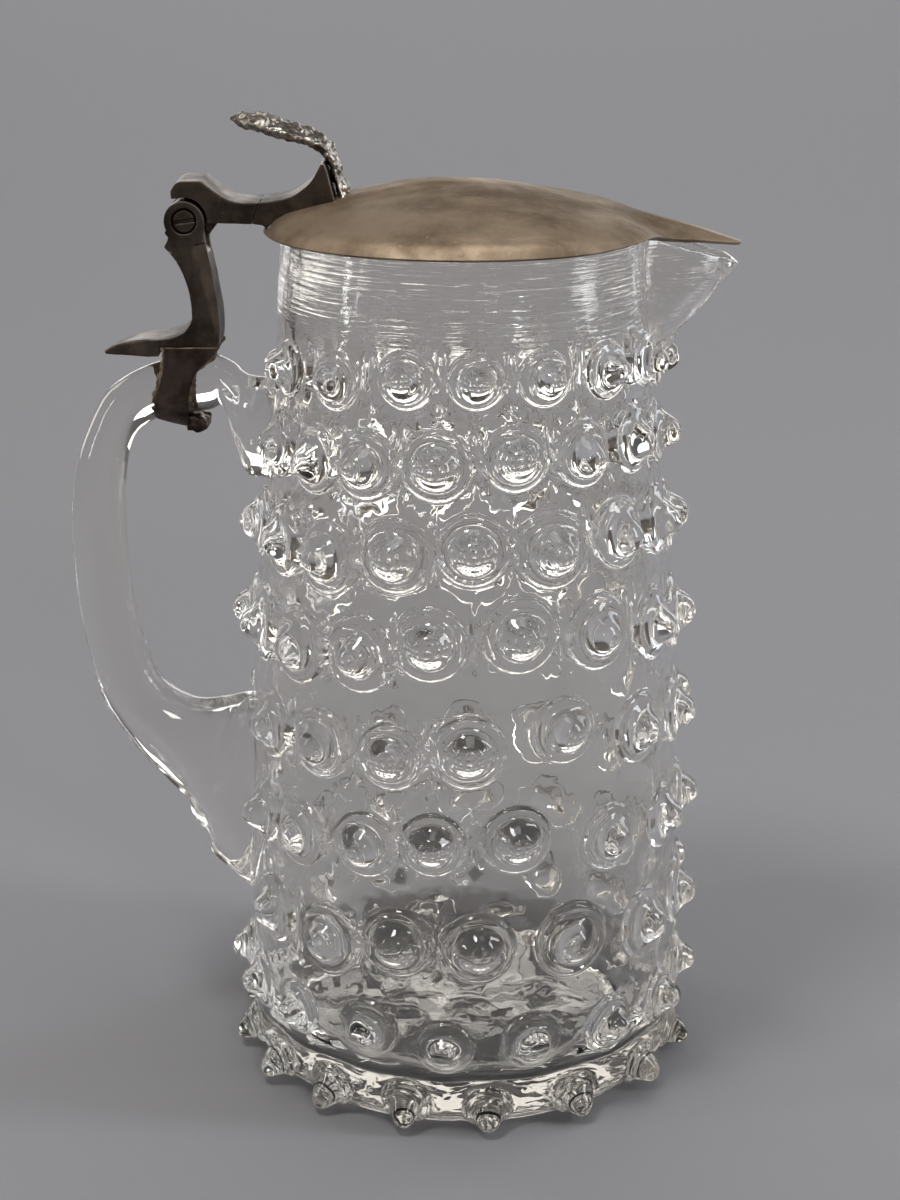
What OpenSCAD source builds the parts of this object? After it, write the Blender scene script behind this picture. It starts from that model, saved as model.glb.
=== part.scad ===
// Claret jug: a clear glass jug covered in rows of drawn knobs, with an applied glass
// handle and a metal lid that swings on a hinge post clamped to the handle.
// Millimetres. The jug's axis is Z, the table is z = 0, the spout points along +X and
// the handle along -X. The lid is drawn closed.

/* [Glass] */
// Thickness of the blown wall halfway up
wall = 3.4; // [2.6:0.1:4.2]
// Height of the floor inside, above the table
floor_z = 8.4; // [6:0.2:11]
// How far a knob in the upper rows stands off the wall
knob_h = 6.2; // [4.5:0.1:7]
// Size of the knobs' feet, as a factor on the measured ones
knob_foot = 1; // [0.85:0.01:1]
// Half width of the handle across its bow
handle_b = 7.4; // [6.8:0.1:8.2]

/* [Lid] */
// Rise of the lid above its edge
lid_rise = 12.6; // [10:0.1:14]
// Thickness of the lid's sheet
lid_t = 1.2; // [0.9:0.1:1.5]
// Reach of the lid's beak over the spout, from the axis
beak_x = 69.3; // [64:0.1:70]

/* [Hinge] */
// Width of the post and of the arm
hinge_w = 17; // [15:0.5:18]
// Diameter of the hinge pin
pin_d = 3.6; // [3:0.1:4]
// Gap between the pin and the bore of the arm's knuckle, on the radius
pin_gap = 0.05; // [0.02:0.01:0.08]
// Outer diameter of the knuckles
knuckle_d = 10; // [9:0.2:10.4]

/* [Clamp] */
// Thickness of the clamp straps
strap_t = 1.1; // [0.8:0.1:1.4]
// Thickness of the packing between the handle and the metal
pack_t = 0.7; // [0.5:0.1:0.9]

/* [Hidden] */

$fn = 96;
glass = [0.78, 0.82, 0.82, 0.45];
pewter = [0.44, 0.39, 0.33];
dark_metal = [0.25, 0.22, 0.19];
bright = [0.66, 0.64, 0.60];

// --- The glass ---------------------------------------------------------------------

rim_z = 223.4;

// Outside of the wall as [radius, height]. The corners lie between the rows of knobs.
outside = [
    [50, 0], [54, 1.1], [56.2, 3.6], [57.1, 8], [57.3, 15], [57.3, 37.5], [56.8, 64],
    [56, 90], [54.8, 115.5], [52.7, 139.5], [50.2, 162], [48.2, 183], [47.5, 197],
    [47, 208], [46.2, 217], [45.9, rim_z - 1]
];

// The wall is a little thinner at the mouth than at the foot.
function wall_at(z) = wall * (1.08 - 0.2 * z / rim_z);

inside = [for (i = [len(outside) - 1 : -1 : 5]) let(p = outside[i])
    [p[0] - wall_at(p[1]), p[1]]];

module outside_solid() {
    rotate_extrude()
        polygon(concat([[0, 0]], outside, [[45.2, rim_z], [0, rim_z]]));
}

module inside_solid() {
    rotate_extrude()
        polygon(concat(
            [[0, rim_z + 1], [inside[0][0] + 0.8, rim_z + 1], [inside[0][0] + 0.8, rim_z]],
            inside,
            [[53.2, floor_z + 13], [51.2, floor_z + 6], [47.5, floor_z + 2.2],
             [41, floor_z + 0.5], [0, floor_z]]));
}

// The pouring lip, drawn out of the neck: a trough that narrows to a round tip. Its
// bottom is a cone along the keel, and straight sides stand on the cone's widest lines.
lip_root = [42, 0, 207];
lip_len = 25;
lip_slope = 71.7;

module trough(r1, r2, up, back) {
    translate(lip_root) rotate([0, lip_slope, 0]) {
        cylinder(r1 = r1, r2 = r2, h = lip_len);
        translate([0, 0, -back]) cylinder(r = r1, h = back + 0.1);
        translate([0, 0, lip_len]) sphere(r = r2);
        rotate([0, -90, 0]) {
            linear_extrude(height = up)
                polygon([[-back, -r1], [0, -r1], [lip_len, -r2], [lip_len, r2], [0, r1],
                         [-back, r1]]);
            translate([lip_len, 0, 0]) cylinder(r = r2, h = up);
        }
    }
}

module glass_body() {
    color(glass)
    difference() {
        union() {
            outside_solid();
            // the outer trough starts in the wall and stops under the brim
            difference() {
                trough(16, 3.4, 16, 0);
                translate([-20, -30, 180]) cube([62.5, 60, 60]);
                translate([41, -40, rim_z]) rotate([0, 20.7, 0]) cube([50, 80, 30]);
                translate([20, -40, rim_z - 0.4]) cube([40, 80, 30]);
            }
        }
        inside_solid();
        trough(13.4, 1.5, 22, 8);
        // the brim of the lip runs down to the tip
        translate([41, -40, rim_z]) rotate([0, 20.7, 0]) cube([50, 80, 30]);
    }
}

// Rows of knobs from the top: [sag of the row round the back, foot radius, height off
// the wall, tilt down, clear of the handle's root, knobs seen from the front as
// [azimuth, height], number round the back]. Azimuth 0 faces -Y and 90 faces the spout.
rows = [
    [11, 7.6, 1, 0, true,
     [[-63, 191], [-40, 191], [-17, 193], [3, 193], [23, 193], [45, 193], [66, 193]], 9],
    [12, 8, 1, 0, true,
     [[-66, 172], [-47, 171], [-29, 172], [-8, 173], [14, 174.6], [35, 174], [56, 174.6],
      [78, 173]], 9],
    [11, 8.4, 0.98, 0, false,
     [[-80, 149], [-59, 149], [-40, 148], [-19, 151], [2, 153], [24, 152], [47, 153],
      [69, 152]], 8],
    [9, 8.8, 0.95, 0, false,
     [[-69, 125], [-49, 124], [-28, 126], [-9, 130], [14, 132], [37, 130], [61, 127]], 9],
    [8, 9, 0.92, 0, true,
     [[-61, 100], [-40, 101], [-19, 101], [1, 103], [26, 107], [51, 102]], 9],
    [6, 8.7, 0.9, 0, true,
     [[-65, 75], [-47, 75], [-26, 77], [-8, 79], [13, 80], [40, 76], [64, 74]], 9],
    [3, 9.4, 0.87, 0, true,
     [[-59, 50], [-37, 49], [-17, 52], [3.5, 51.5], [28, 51], [54, 48]], 9],
    [0, 9.2, 0.9, 2, false,
     [[-67, 26], [-48, 26], [-25, 27], [-5, 24], [17, 25], [40, 24], [63, 23]], 9],
    [0, 8.4, 0.95, 24, false,
     [[-80, 7], [-58, 7], [-37, 7], [-15, 7.5], [6, 6.5], [30, 6.5], [55, 6.5]], 9]
];

// Knobs round the back follow on evenly from the last seen one to the first, and the
// row sags between them.
function row_places(row) = let(seen = row[5], n = row[6],
        last = seen[len(seen) - 1],
        span = seen[0] + [360, 0] - last)
    concat(seen, [for (i = [1 : n])
        last + span * i / (n + 1) - [0, row[0] * sin(180 * i / (n + 1))]]);

function from_handle(a) = abs(((a + 90 + 540) % 360) - 180);

function radius_at(z, i = 0) = z <= outside[i + 1][1] || i >= len(outside) - 2
    ? outside[i][0] + (outside[i + 1][0] - outside[i][0])
        * (z - outside[i][1]) / (outside[i + 1][1] - outside[i][1])
    : radius_at(z, i + 1);

// One knob, drawn from a gather pressed on the wall: a low foot and a round nipple.
module knob(foot, h) {
    rotate_extrude($fn = 48)
        polygon([
            [0, -2.4], [foot, -2.4], [foot, 0.35], [foot - 0.45, 0.95], [foot - 1.5, 1.4],
            [5.6, h * 0.32], [4.5, h * 0.46], [3.8, h * 0.62], [3.3, h * 0.77],
            [2.4, h * 0.91], [1.2, h * 0.985], [0, h]
        ]);
}

module knobs(k) {
    row = rows[k];
    color(glass)
    difference() {
        for (place = row_places(row))
            if (!row[4] || from_handle(place[0]) > 17)
                rotate([0, 0, place[0] - 90])
                    translate([radius_at(place[1]), 0, place[1]])
                        rotate([0, 90 + row[3], 0])
                            knob(row[1] * knob_foot, knob_h * row[2]);
        outside_solid();
        // the lip grows over the top row
        if (k == 0) trough(16, 3.4, 16, 0);
        // nothing hangs lower than the base
        if (k == len(rows) - 1) translate([-90, -90, -19.6]) cube([180, 180, 20]);
    }
}

module knobs_row_1() { knobs(0); }
module knobs_row_2() { knobs(1); }
module knobs_row_3() { knobs(2); }
module knobs_row_4() { knobs(3); }
module knobs_row_5() { knobs(4); }
module knobs_row_6() { knobs(5); }
module knobs_row_7() { knobs(6); }
module knobs_row_8() { knobs(7); }
module knobs_row_9() { knobs(8); }

// --- Swept bars --------------------------------------------------------------------

// A Catmull-Rom curve through whole rows of numbers.
function spline(p, i, t) = let(a = p[max(i - 1, 0)], b = p[i], c = p[i + 1],
        d = p[min(i + 2, len(p) - 1)])
    0.5 * (2 * b + (c - a) * t + (2 * a - 5 * b + 4 * c - d) * t * t
           + (3 * b - a - 3 * c + d) * t * t * t);

function smooth(p, n) = concat(
    [for (i = [0 : len(p) - 2]) for (k = [0 : n - 1]) spline(p, i, k / n)],
    [p[len(p) - 1]]);

// A bar whose oval sections stand between an outer and an inner outline in the XZ
// plane. Each row is [outer x, outer z, inner x, inner z, half width along Y].
module bar(p, n, sides) {
    s = smooth(p, n);
    m = len(s);
    points = [for (r = s) for (j = [0 : sides - 1])
        let(c = cos(360 * j / sides), q = sin(360 * j / sides))
        [(r[0] + r[2]) / 2 + c * (r[0] - r[2]) / 2, q * r[4],
         (r[1] + r[3]) / 2 + c * (r[1] - r[3]) / 2]];
    sides_of = [for (i = [0 : m - 2]) for (j = [0 : sides - 1]) each [
        [i * sides + j, i * sides + (j + 1) % sides, (i + 1) * sides + j],
        [i * sides + (j + 1) % sides, (i + 1) * sides + (j + 1) % sides,
         (i + 1) * sides + j]]];
    ends = [[for (j = [0 : sides - 1]) sides - 1 - j],
            [for (j = [0 : sides - 1]) (m - 1) * sides + j]];
    polyhedron(points, concat(sides_of, ends), convexity = 6);
}

// Straight stretch of the handle under the clamp: a point on its axis, its slope
// down towards the bow, and its radius.
grip = [-72, 0, 181.85];
grip_slope = 9;
grip_r = 6.95;

function on_grip(x) = let(z = grip[2] + (x - grip[0]) * tan(grip_slope),
        dx = -grip_r * sin(grip_slope), dz = grip_r * cos(grip_slope))
    [x + dx, z + dz, x - dx, z - dz, grip_r];

handle_rows = [
    [-46.8, 184, -49, 158, 8],
    [-54.5, 184.6, -55.4, 158.5, 8.2],
    [-58.6, 187.9, -58.4, 166, 7.8],
    on_grip(-62.5), on_grip(-66), on_grip(-72), on_grip(-78),
    [-87.5, 183.8, -83, 171, 7.2],
    [-93.2, 178, -85.8, 166, handle_b],
    [-99.2, 164.5, -87.4, 157.5, handle_b],
    [-101.7, 151, -87.8, 149, handle_b],
    [-102, 139, -87.7, 139, handle_b],
    [-101.2, 125, -86.6, 126, handle_b],
    [-99, 110, -83.8, 112, handle_b],
    [-95.4, 96, -79.8, 102.6, handle_b + 0.2],
    [-87, 82.5, -72, 97.4, handle_b + 0.8],
    [-77.6, 71.6, -64.5, 97.4, 8.6],
    [-71.4, 60, -58.8, 98.6, 8.8],
    [-66, 49, -55.6, 99, 8.4],
    [-55.6, 41, -54, 99, 7.6]
];

module glass_handle() {
    color(glass) bar(handle_rows, 3, 20);
}

// --- The lid -----------------------------------------------------------------------

lid_z = 221.3;
lid_r = 50.2;

// Height of the lid over its edge, as parts of its rise, at parts of its radius
dome = [
    [0, 1], [0.16, 0.968], [0.32, 0.881], [0.5, 0.746], [0.66, 0.611], [0.8, 0.468],
    [0.9, 0.341], [0.966, 0.206], [1, 0.05]
];

// The dome's own shape ends at this part of the radius; outside it, the middle of the
// beak runs on in a straight ridge that drops below the edge at the tip.
shoulder = 0.8;
ridge_from = 0.468;
ridge_to = -0.13;

half_root = 14.2;

function blend(a) = let(d = min(abs(a) / 22, 1)) (1 - d) * (1 - d) * (1 + 2 * d);

// Edge of the lid in plan: a circle, and straight sides that meet at the beak's tip.
root_x = lid_r * cos(half_root);
root_y = lid_r * sin(half_root);
edge_slope = (root_y - 1.6) / (beak_x - root_x);

function edge_r(a) = abs(a) >= half_root ? lid_r
    : min((root_y + edge_slope * root_x) / (tan(abs(a)) + edge_slope), beak_x) / cos(a);

angles = concat([for (a = [-16 : 2 : 16]) a], [for (a = [22 : 7.9 : 340]) a]);

module lid_skin(drop, shrink) {
    rings = len(dome);
    turns = len(angles);
    top = concat([[0, 0, lid_z + lid_rise - drop]],
        [for (k = [1 : rings - 1]) for (turn = angles)
            let(a = turn > 180 ? turn - 360 : turn, b = blend(a),
                t = max(0, (dome[k][0] - shoulder) / (1 - shoulder)),
                start = shoulder * lid_r,
                r = t > 0 ? start + t * (edge_r(a) - shrink - start) : dome[k][0] * lid_r,
                ridge = ridge_from + (ridge_to - ridge_from) * t,
                h = t > 0 ? dome[k][1] * (1 - b) + ridge * b : dome[k][1])
            [r * cos(a), r * sin(a),
             lid_z + lid_rise * h - drop * (k == rings - 1 ? 0.4 : 1)]]);
    // the rim's lower edge closes the shape
    base = [for (a = angles)
        let(b = blend(a > 180 ? a - 360 : a), r = edge_r(a > 180 ? a - 360 : a) - shrink)
        [r * cos(a), r * sin(a), lid_z - 2.6 * b - drop * 8]];
    n = turns;
    fan = [for (j = [0 : n - 1]) [0, 1 + (j + 1) % n, 1 + j]];
    bands = [for (k = [0 : rings - 2]) for (j = [0 : n - 1])
        let(i0 = 1 + k * n + j, i1 = 1 + k * n + (j + 1) % n)
        each [[i0, i1, i0 + n], [i1, i1 + n, i0 + n]]];
    bottom = [[for (j = [0 : n - 1]) 1 + (rings - 1) * n + j]];
    polyhedron(concat(top, base), concat(fan, bands, bottom), convexity = 8);
}

module lid_plate() {
    color(pewter)
    difference() {
        lid_skin(0, 0);
        lid_skin(lid_t, lid_t);
    }
}

// The same dome as a plain solid of revolution, which the metal on it is cut to.
module dome_solid() {
    rotate_extrude()
        polygon(concat(
            [for (p = dome) [p[0] * lid_r, lid_z + p[1] * lid_rise]],
            [[lid_r, lid_z - 5], [0, lid_z - 5]]));
}

// --- The hinge ---------------------------------------------------------------------

pin = [-69.3, 224.8];
half_w = hinge_w / 2;
tongue = 2.9;
gap = 0.3;

module along_y(from, to) {
    translate([0, to, 0]) rotate([90, 0, 0]) linear_extrude(height = to - from) children();
}

module round_at_pin(d, from, to, sides = 96) {
    translate([pin[0], to, pin[1]]) rotate([90, 0, 0]) cylinder(d = d, h = to - from, $fn = sides);
}

// Outline of the arm seen from the side, before the seam that splits it
arm_outline = [
    [-72.3, 230.3], [-72.4, 232.3], [-71.2, 234], [-69.8, 234.7], [-64.8, 234.7],
    [-62.7, 233.1], [-59.8, 230.9], [-57.3, 229.8], [-54, 229.3], [-50.2, 229.4], [-46, 230],
    [-42.5, 231], [-40.1, 232.4], [-38, 234.3], [-36.5, 236.6], [-35.4, 238.8],
    [-34.5, 239], [-33.8, 237], [-32.6, 232], [-31, 226], [-31, 221], [-49.2, 221],
    [-49.4, 223.4], [-51.4, 224], [-55.6, 224.2], [-61, 224.3], [-66, 224.3], [-68, 230.3]
];

// The two parts of the arm meet on a slanted joint.
joint_line = [[-50.6, 245], [-50.6, 229.4], [-52.6, 223.9], [-52.6, 210]];

module arm_side(left) {
    intersection() {
        polygon(arm_outline);
        polygon(concat(joint_line, left ? [[-90, 210], [-90, 245]] : [[0, 210], [0, 245]]));
    }
}

module hinge_arm() {
    color(dark_metal)
    difference() {
        union() {
            difference() {
                along_y(-half_w, half_w) arm_side(true);
                // room for the post's knuckles on both sides of the tongue
                for (s = [-1, 1])
                    round_at_pin(knuckle_d + 1.2, s > 0 ? tongue : -half_w - 1,
                        s > 0 ? half_w + 1 : -tongue);
                round_at_pin(knuckle_d + 1, -tongue - 0.01, tongue + 0.01);
            }
            round_at_pin(knuckle_d - 0.4, -tongue, tongue);
            along_y(-tongue, tongue)
                polygon([[-69.3, 229.5], [-63.8, 220.6], [-61, 224.3], [-63, 232],
                         [-70.4, 232.2]]);
        }
        round_at_pin(pin_d + 2 * pin_gap, -tongue - 1, tongue + 1);
    }
}

module arm_tang() {
    color(dark_metal)
    difference() {
        along_y(-half_w, half_w) arm_side(false);
        dome_solid();
    }
}

// Run of solder along the foot of the tang, on both sides
module tang_solder() {
    color(bright)
    difference() {
        intersection() {
            for (s = [-1, 1])
                along_y(s > 0 ? half_w : -half_w - 1.3, s > 0 ? half_w + 1.3 : -half_w)
                    polygon([[-48.4, 221], [-31.6, 226], [-31.4, 229.8], [-36.6, 228.4],
                             [-41.4, 227.3], [-46, 225.6], [-48.4, 223.6]]);
            rotate_extrude()
                polygon(concat(
                    [for (p = dome) [p[0] * lid_r, lid_z + p[1] * lid_rise + 0.7]],
                    [[lid_r, lid_z - 5], [0, lid_z - 5]]));
        }
        dome_solid();
    }
}

// The thumbpiece: a cast leaf that rises from the tang and curls back over it. Each
// row is [outer x, outer z, inner x, inner z, half width].
leaf_rows = [
    [-27.6, 227.2, -30.6, 228.9, 6.5],
    [-28.9, 231, -32, 231.9, 6],
    [-30.2, 235.4, -33.3, 235.9, 5.2],
    [-31.2, 240, -34.2, 239.2, 5],
    [-33.6, 243.6, -35.6, 241, 6],
    [-37.4, 245.9, -38.6, 242.6, 8],
    [-42, 247.7, -42.6, 243.9, 9.4],
    [-47, 249.1, -47.8, 245.2, 9.6],
    [-51.6, 250.4, -52, 246.4, 7.6],
    [-55.2, 250.3, -55.4, 247.2, 4.6],
    [-57.8, 249.1, -57.4, 248.3, 1.6]
];

module thumbpiece() {
    color(bright)
    difference() {
        bar(leaf_rows, 3, 14);
        dome_solid();
    }
}

// Outline of the post and its spur seen from the side
post_outline = [
    [-64.4, 224.8], [-64.4, 219], [-63.3, 213], [-62.3, 207], [-61.6, 201.5],
    [-61.4, 197], [-61.7, 193.4], [-76.5, 193.4], [-76.8, 190.8], [-81, 190.6], [-91.2, 190.3],
    [-91.6, 191], [-88.4, 192.8], [-84, 194.2], [-80.2, 194.9], [-76.4, 195.1],
    [-73, 195.8], [-70.2, 197.2], [-68.4, 199.8], [-68.1, 203], [-68.6, 207],
    [-69.7, 211], [-71.3, 214.4], [-73.2, 217.2], [-74.4, 218.4], [-73.3, 220.7],
    [-73.6, 222.6]
];

// Outline of the post seen from above: its spur narrows to a point
post_plan = [
    [-60, -half_w], [-74, -half_w], [-80, -6.6], [-86, -4], [-91.2, -1.6], [-91.8, 0],
    [-91.2, 1.6], [-86, 4], [-80, 6.6], [-74, half_w], [-60, half_w]
];

module along_grip(r, from, to) {
    translate(grip) rotate([0, -90 - grip_slope, 0]) translate([0, 0, from])
        cylinder(r = r, h = to - from);
}

module hinge_post() {
    color(dark_metal)
    difference() {
        union() {
            intersection() {
                along_y(-half_w, half_w) polygon(post_outline);
                translate([0, 0, 180])
                    linear_extrude(height = 60) polygon(post_plan);
            }
            for (s = [-1, 1])
                round_at_pin(knuckle_d, s > 0 ? tongue + gap : -half_w,
                    s > 0 ? half_w : -tongue - gap);
            // foot between the straps, down to the packing
            along_y(-grip_r - pack_t, grip_r + pack_t)
                polygon([[-75.4, 193.6], [-62.2, 193.6], [-63.4, 187], [-76.4, 186]]);
        }
        // slot for the arm's tongue
        round_at_pin(knuckle_d + 0.6, -tongue - gap, tongue + gap);
        along_y(-tongue - gap, tongue + gap)
            polygon([[-80, 218], [-69.3, 224.8], [-64.2, 216.4], [-60, 220], [-60, 240],
                     [-80, 240]]);
        round_at_pin(pin_d, -half_w - 1, half_w + 1);
        // seat for the pin's head
        round_at_pin(6.4, -half_w - 1, -half_w + 1.3);
        along_grip(grip_r + pack_t, -16, 16);
    }
}

module hinge_pin() {
    color(dark_metal)
    difference() {
        union() {
            round_at_pin(pin_d, -half_w + 0.4, half_w + 0.3);
            round_at_pin(5.3, -half_w + 0.1, -half_w + 1.3);
        }
        // screwdriver slot
        translate([pin[0], -half_w, pin[1]])
            rotate([0, 8, 0]) cube([8, 1.4, 0.9], center = true);
    }
}

// Outline of a strap seen from the side: wide under the post, then an even band
strap_outline = [
    [-75.2, 193.4], [-62.2, 193.4], [-63.8, 189.8], [-66.9, 187.2], [-68.4, 184.6],
    [-69.2, 181], [-69.6, 177], [-69.6, 171.6], [-73.4, 172.6], [-78, 174.2],
    [-78.5, 177], [-77.7, 181.3], [-76.2, 186.5], [-75.4, 190.3]
];

module strap_shell() {
    r0 = grip_r + pack_t;
    r1 = r0 + strap_t;
    difference() {
        union() {
            along_grip(r1, -16, 16);
            translate(grip) rotate([0, -grip_slope, 0])
                translate([-16, -r1, 0]) cube([32, 2 * r1, 20]);
        }
        along_grip(r0, -20, 20);
        translate(grip) rotate([0, -grip_slope, 0])
            translate([-20, -r0, 0]) cube([40, 2 * r0, 24]);
    }
}

module strap(from, to) {
    intersection() {
        strap_shell();
        along_y(from, to) polygon(strap_outline);
    }
}

module strap_near() {
    color(dark_metal) strap(-12, -0.05);
}

// The far strap ends under the handle in a thick lug, beside the near one.
module strap_far() {
    color(dark_metal)
    difference() {
        union() {
            strap(0.05, 12);
            along_y(-4, 5)
                polygon([[-69.5, 176], [-65.4, 176], [-65.3, 172.6], [-66, 170.4],
                         [-69.5, 170.7]]);
        }
        along_grip(grip_r + pack_t, -16, 16);
    }
}

// Packing pressed between the glass and the metal, a little wider than the metal
module clamp_packing() {
    color([0.36, 0.29, 0.22])
    intersection() {
        difference() {
            along_grip(grip_r + pack_t, -16, 16);
            along_grip(grip_r + 0.05, -20, 20);
        }
        along_y(-12, 12)
            polygon([[-76.6, 196], [-61.6, 196], [-62.8, 189.6], [-66, 186.6],
                     [-67.6, 184.2], [-68.6, 181], [-69, 177], [-69, 170], [-79, 170],
                     [-79.3, 177], [-78.6, 181.3], [-77, 186.5]]);
    }
}

glass_body();
knobs_row_1();
knobs_row_2();
knobs_row_3();
knobs_row_4();
knobs_row_5();
knobs_row_6();
knobs_row_7();
knobs_row_8();
knobs_row_9();
glass_handle();
lid_plate();
hinge_arm();
arm_tang();
thumbpiece();
tang_solder();
hinge_post();
hinge_pin();
strap_near();
strap_far();
clamp_packing();
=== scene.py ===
# %% [markdown]
# # A claret jug in clear glass and tin alloy
# A tall glass jug, covered in rows of drawn knobs, stands on a table. A lid with a beak
# swings on a hinge post that is clamped to the glass handle.

# %% Load the frame
import math

import bmesh
import bpy
import numpy as np
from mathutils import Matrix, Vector, noise
from mathutils.geometry import delaunay_2d_cdt


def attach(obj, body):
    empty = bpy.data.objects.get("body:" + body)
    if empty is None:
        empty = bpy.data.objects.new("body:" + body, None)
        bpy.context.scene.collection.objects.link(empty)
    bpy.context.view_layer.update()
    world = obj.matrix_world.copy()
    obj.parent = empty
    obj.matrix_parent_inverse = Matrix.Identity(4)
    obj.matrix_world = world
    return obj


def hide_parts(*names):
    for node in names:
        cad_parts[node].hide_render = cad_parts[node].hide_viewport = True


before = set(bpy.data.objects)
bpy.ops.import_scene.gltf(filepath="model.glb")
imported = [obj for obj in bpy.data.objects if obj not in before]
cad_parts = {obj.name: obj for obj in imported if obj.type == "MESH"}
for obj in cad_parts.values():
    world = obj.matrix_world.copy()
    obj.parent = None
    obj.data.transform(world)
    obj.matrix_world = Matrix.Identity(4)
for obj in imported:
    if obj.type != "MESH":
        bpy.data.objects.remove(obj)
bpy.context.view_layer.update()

MM = 0.001
SEED = 7

# %% [markdown]
# ## A short way to write node trees
# Shaders and Geometry Nodes are both trees of nodes. Linking them one call at a time is
# long to read, so a small class wraps a socket and takes over + - * / and **: an
# expression on sockets adds the Math nodes by itself. Every other node comes from one
# method that takes the node's type, its settings and the values of its sockets.

# %% Sockets that can be added and multiplied
class Flow:
    """One output socket of a node, with arithmetic that adds Math nodes."""

    def __init__(self, net, socket):
        self.net, self.socket = net, socket

    def of(self, name):
        return Flow(self.net, next(s for s in self.socket.node.outputs
                                   if s.name == name and s.enabled))

    def math(self, operation, *others):
        return self.net.node(self.net.MATH, {"operation": operation},
                             dict(enumerate((self, *others))))

    def __add__(self, other):
        return self.math("ADD", other)

    def __mul__(self, other):
        return self.math("MULTIPLY", other)

    def __sub__(self, other):
        return self.math("SUBTRACT", other)

    def __truediv__(self, other):
        return self.math("DIVIDE", other)

    def __pow__(self, other):
        return self.math("POWER", other)

    __radd__, __rmul__ = __add__, __mul__

    def sin(self):
        return self.math("SINE")

    def cos(self):
        return self.math("COSINE")

    def clamp(self):
        return self.net.node(self.net.MATH, {"operation": "ADD", "use_clamp": True},
                             {0: self, 1: 0.0})

    def step(self, low, high):
        """0 below low, 1 above high and a soft climb between."""
        return self.net.node("ShaderNodeMapRange", {"interpolation_type": "SMOOTHSTEP"},
                             {"Value": self, "From Min": low, "From Max": high})


class Net:
    """A node tree that is written with node(), which hands back the first output."""
    MATH = "ShaderNodeMath"

    def __init__(self, tree):
        self.tree = tree

    def node(self, kind, settings=(), inputs=()):
        made = self.tree.nodes.new(kind)
        for key, value in dict(settings).items():
            setattr(made, key, value)
        for key, value in dict(inputs).items():
            socket = made.inputs[key] if isinstance(key, int) else next(
                s for s in made.inputs if s.name == key and s.enabled)
            for one in value if isinstance(value, list) else [value]:
                if isinstance(one, Flow):
                    self.tree.links.new(one.socket, socket)
                else:
                    socket.default_value = one
        return Flow(self, next(s for s in made.outputs if s.enabled)) if made.outputs else None

    def mix(self, factor, a, b):
        """Colour a where factor is 0 and colour b where it is 1."""
        return self.node("ShaderNodeMix", {"data_type": "RGBA"},
                         {0: factor, 6: a, 7: b}).of("Result")

    def noise(self, place, scale, detail, **more):
        """Soft noise, 0 to 1, with about scale waves in a metre."""
        return self.node("ShaderNodeTexNoise", {},
                         {"Vector": place, "Scale": scale, "Detail": detail, **more}).of("Fac")

    def feed(self, shader, **sockets):
        """Links values that change over the surface to the shader's sockets."""
        for name, value in sockets.items():
            self.tree.links.new(value.socket, shader.inputs[name.replace("_", " ")])


def new_material(name):
    """A material, its tree and its Principled shader."""
    made = bpy.data.materials.new(name)
    made.use_nodes = True
    return made, Net(made.node_tree), made.node_tree.nodes["Principled BSDF"]


print("node helpers ready")

# %% [markdown]
# ## Camera, floor and light
# The photograph was taken from a little above the jug, so the rim is a flat ellipse. The
# camera stands 577 mm in front of the jug's axis and looks down by 17.5 degrees. A pale
# sheet runs from the table up behind the jug, as in a studio, so that no horizon cuts
# through the glass.

# %% The camera
# in pixels: the focal length, worked out from the jug's ellipses, and the photograph's height
FOCAL_PIXELS, PHOTO_HEIGHT, SENSOR = 2300.0, 1200.0, 36.0
LOOKS_DOWN = 17.5
camera_data = bpy.data.cameras.new("camera")
camera_data.sensor_width = SENSOR
camera_data.lens = FOCAL_PIXELS / PHOTO_HEIGHT * SENSOR
camera_data.clip_start = 0.01
camera = bpy.data.objects.new("camera", camera_data)
camera.location = (-0.00366, -0.577, 0.3063)
camera.rotation_euler = (math.radians(90 - LOOKS_DOWN), 0, 0)
bpy.context.collection.objects.link(camera)
bpy.context.scene.camera = camera
print("camera lens", round(camera_data.lens, 1), "mm")


# %% Meshes from rings of points
def mesh_object(name, points, faces):
    """A mesh object at the origin, from points in metres and lists of corner numbers."""
    mesh = bpy.data.meshes.new(name)
    mesh.from_pydata([tuple(p) for p in points], [], faces)
    mesh.update()
    mesh.shade_smooth()
    made = bpy.data.objects.new(name, mesh)
    bpy.context.collection.objects.link(made)
    return made


def skin(rings, start=None, end=None):
    """Points and faces of a tube through rings of equal length. start and end are the
    poles that close it, or None for an open tube."""
    count = len(rings[0])
    points = [p for ring in rings for p in ring]
    faces = []
    for k in range(len(rings) - 1):
        for j in range(count):
            a, b = k * count + j, k * count + (j + 1) % count
            faces.append((a, b, b + count, a + count))
    if start is not None:
        points.append(start)
        faces += [((j + 1) % count, j, len(points) - 1) for j in range(count)]
    if end is not None:
        points.append(end)
        base = (len(rings) - 1) * count
        faces += [(base + j, base + (j + 1) % count, len(points) - 1) for j in range(count)]
    return points, faces


def capped(rings):
    """Points and faces of a tube through rings in mm, closed at the middle of both ends."""
    return skin([ring * MM for ring in rings], start=rings[0].mean(axis=0) * MM,
                end=rings[-1].mean(axis=0) * MM)


def turned_out(made):
    """Makes the faces of a closed mesh point outwards, doubles merged first."""
    work = bmesh.new()
    work.from_mesh(made.data)
    bmesh.ops.remove_doubles(work, verts=work.verts, dist=1e-7)
    bmesh.ops.recalc_face_normals(work, faces=work.faces)
    if work.calc_volume(signed=True) < 0:
        bmesh.ops.reverse_faces(work, faces=work.faces)
    work.to_mesh(made.data)
    work.free()
    return made


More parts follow.
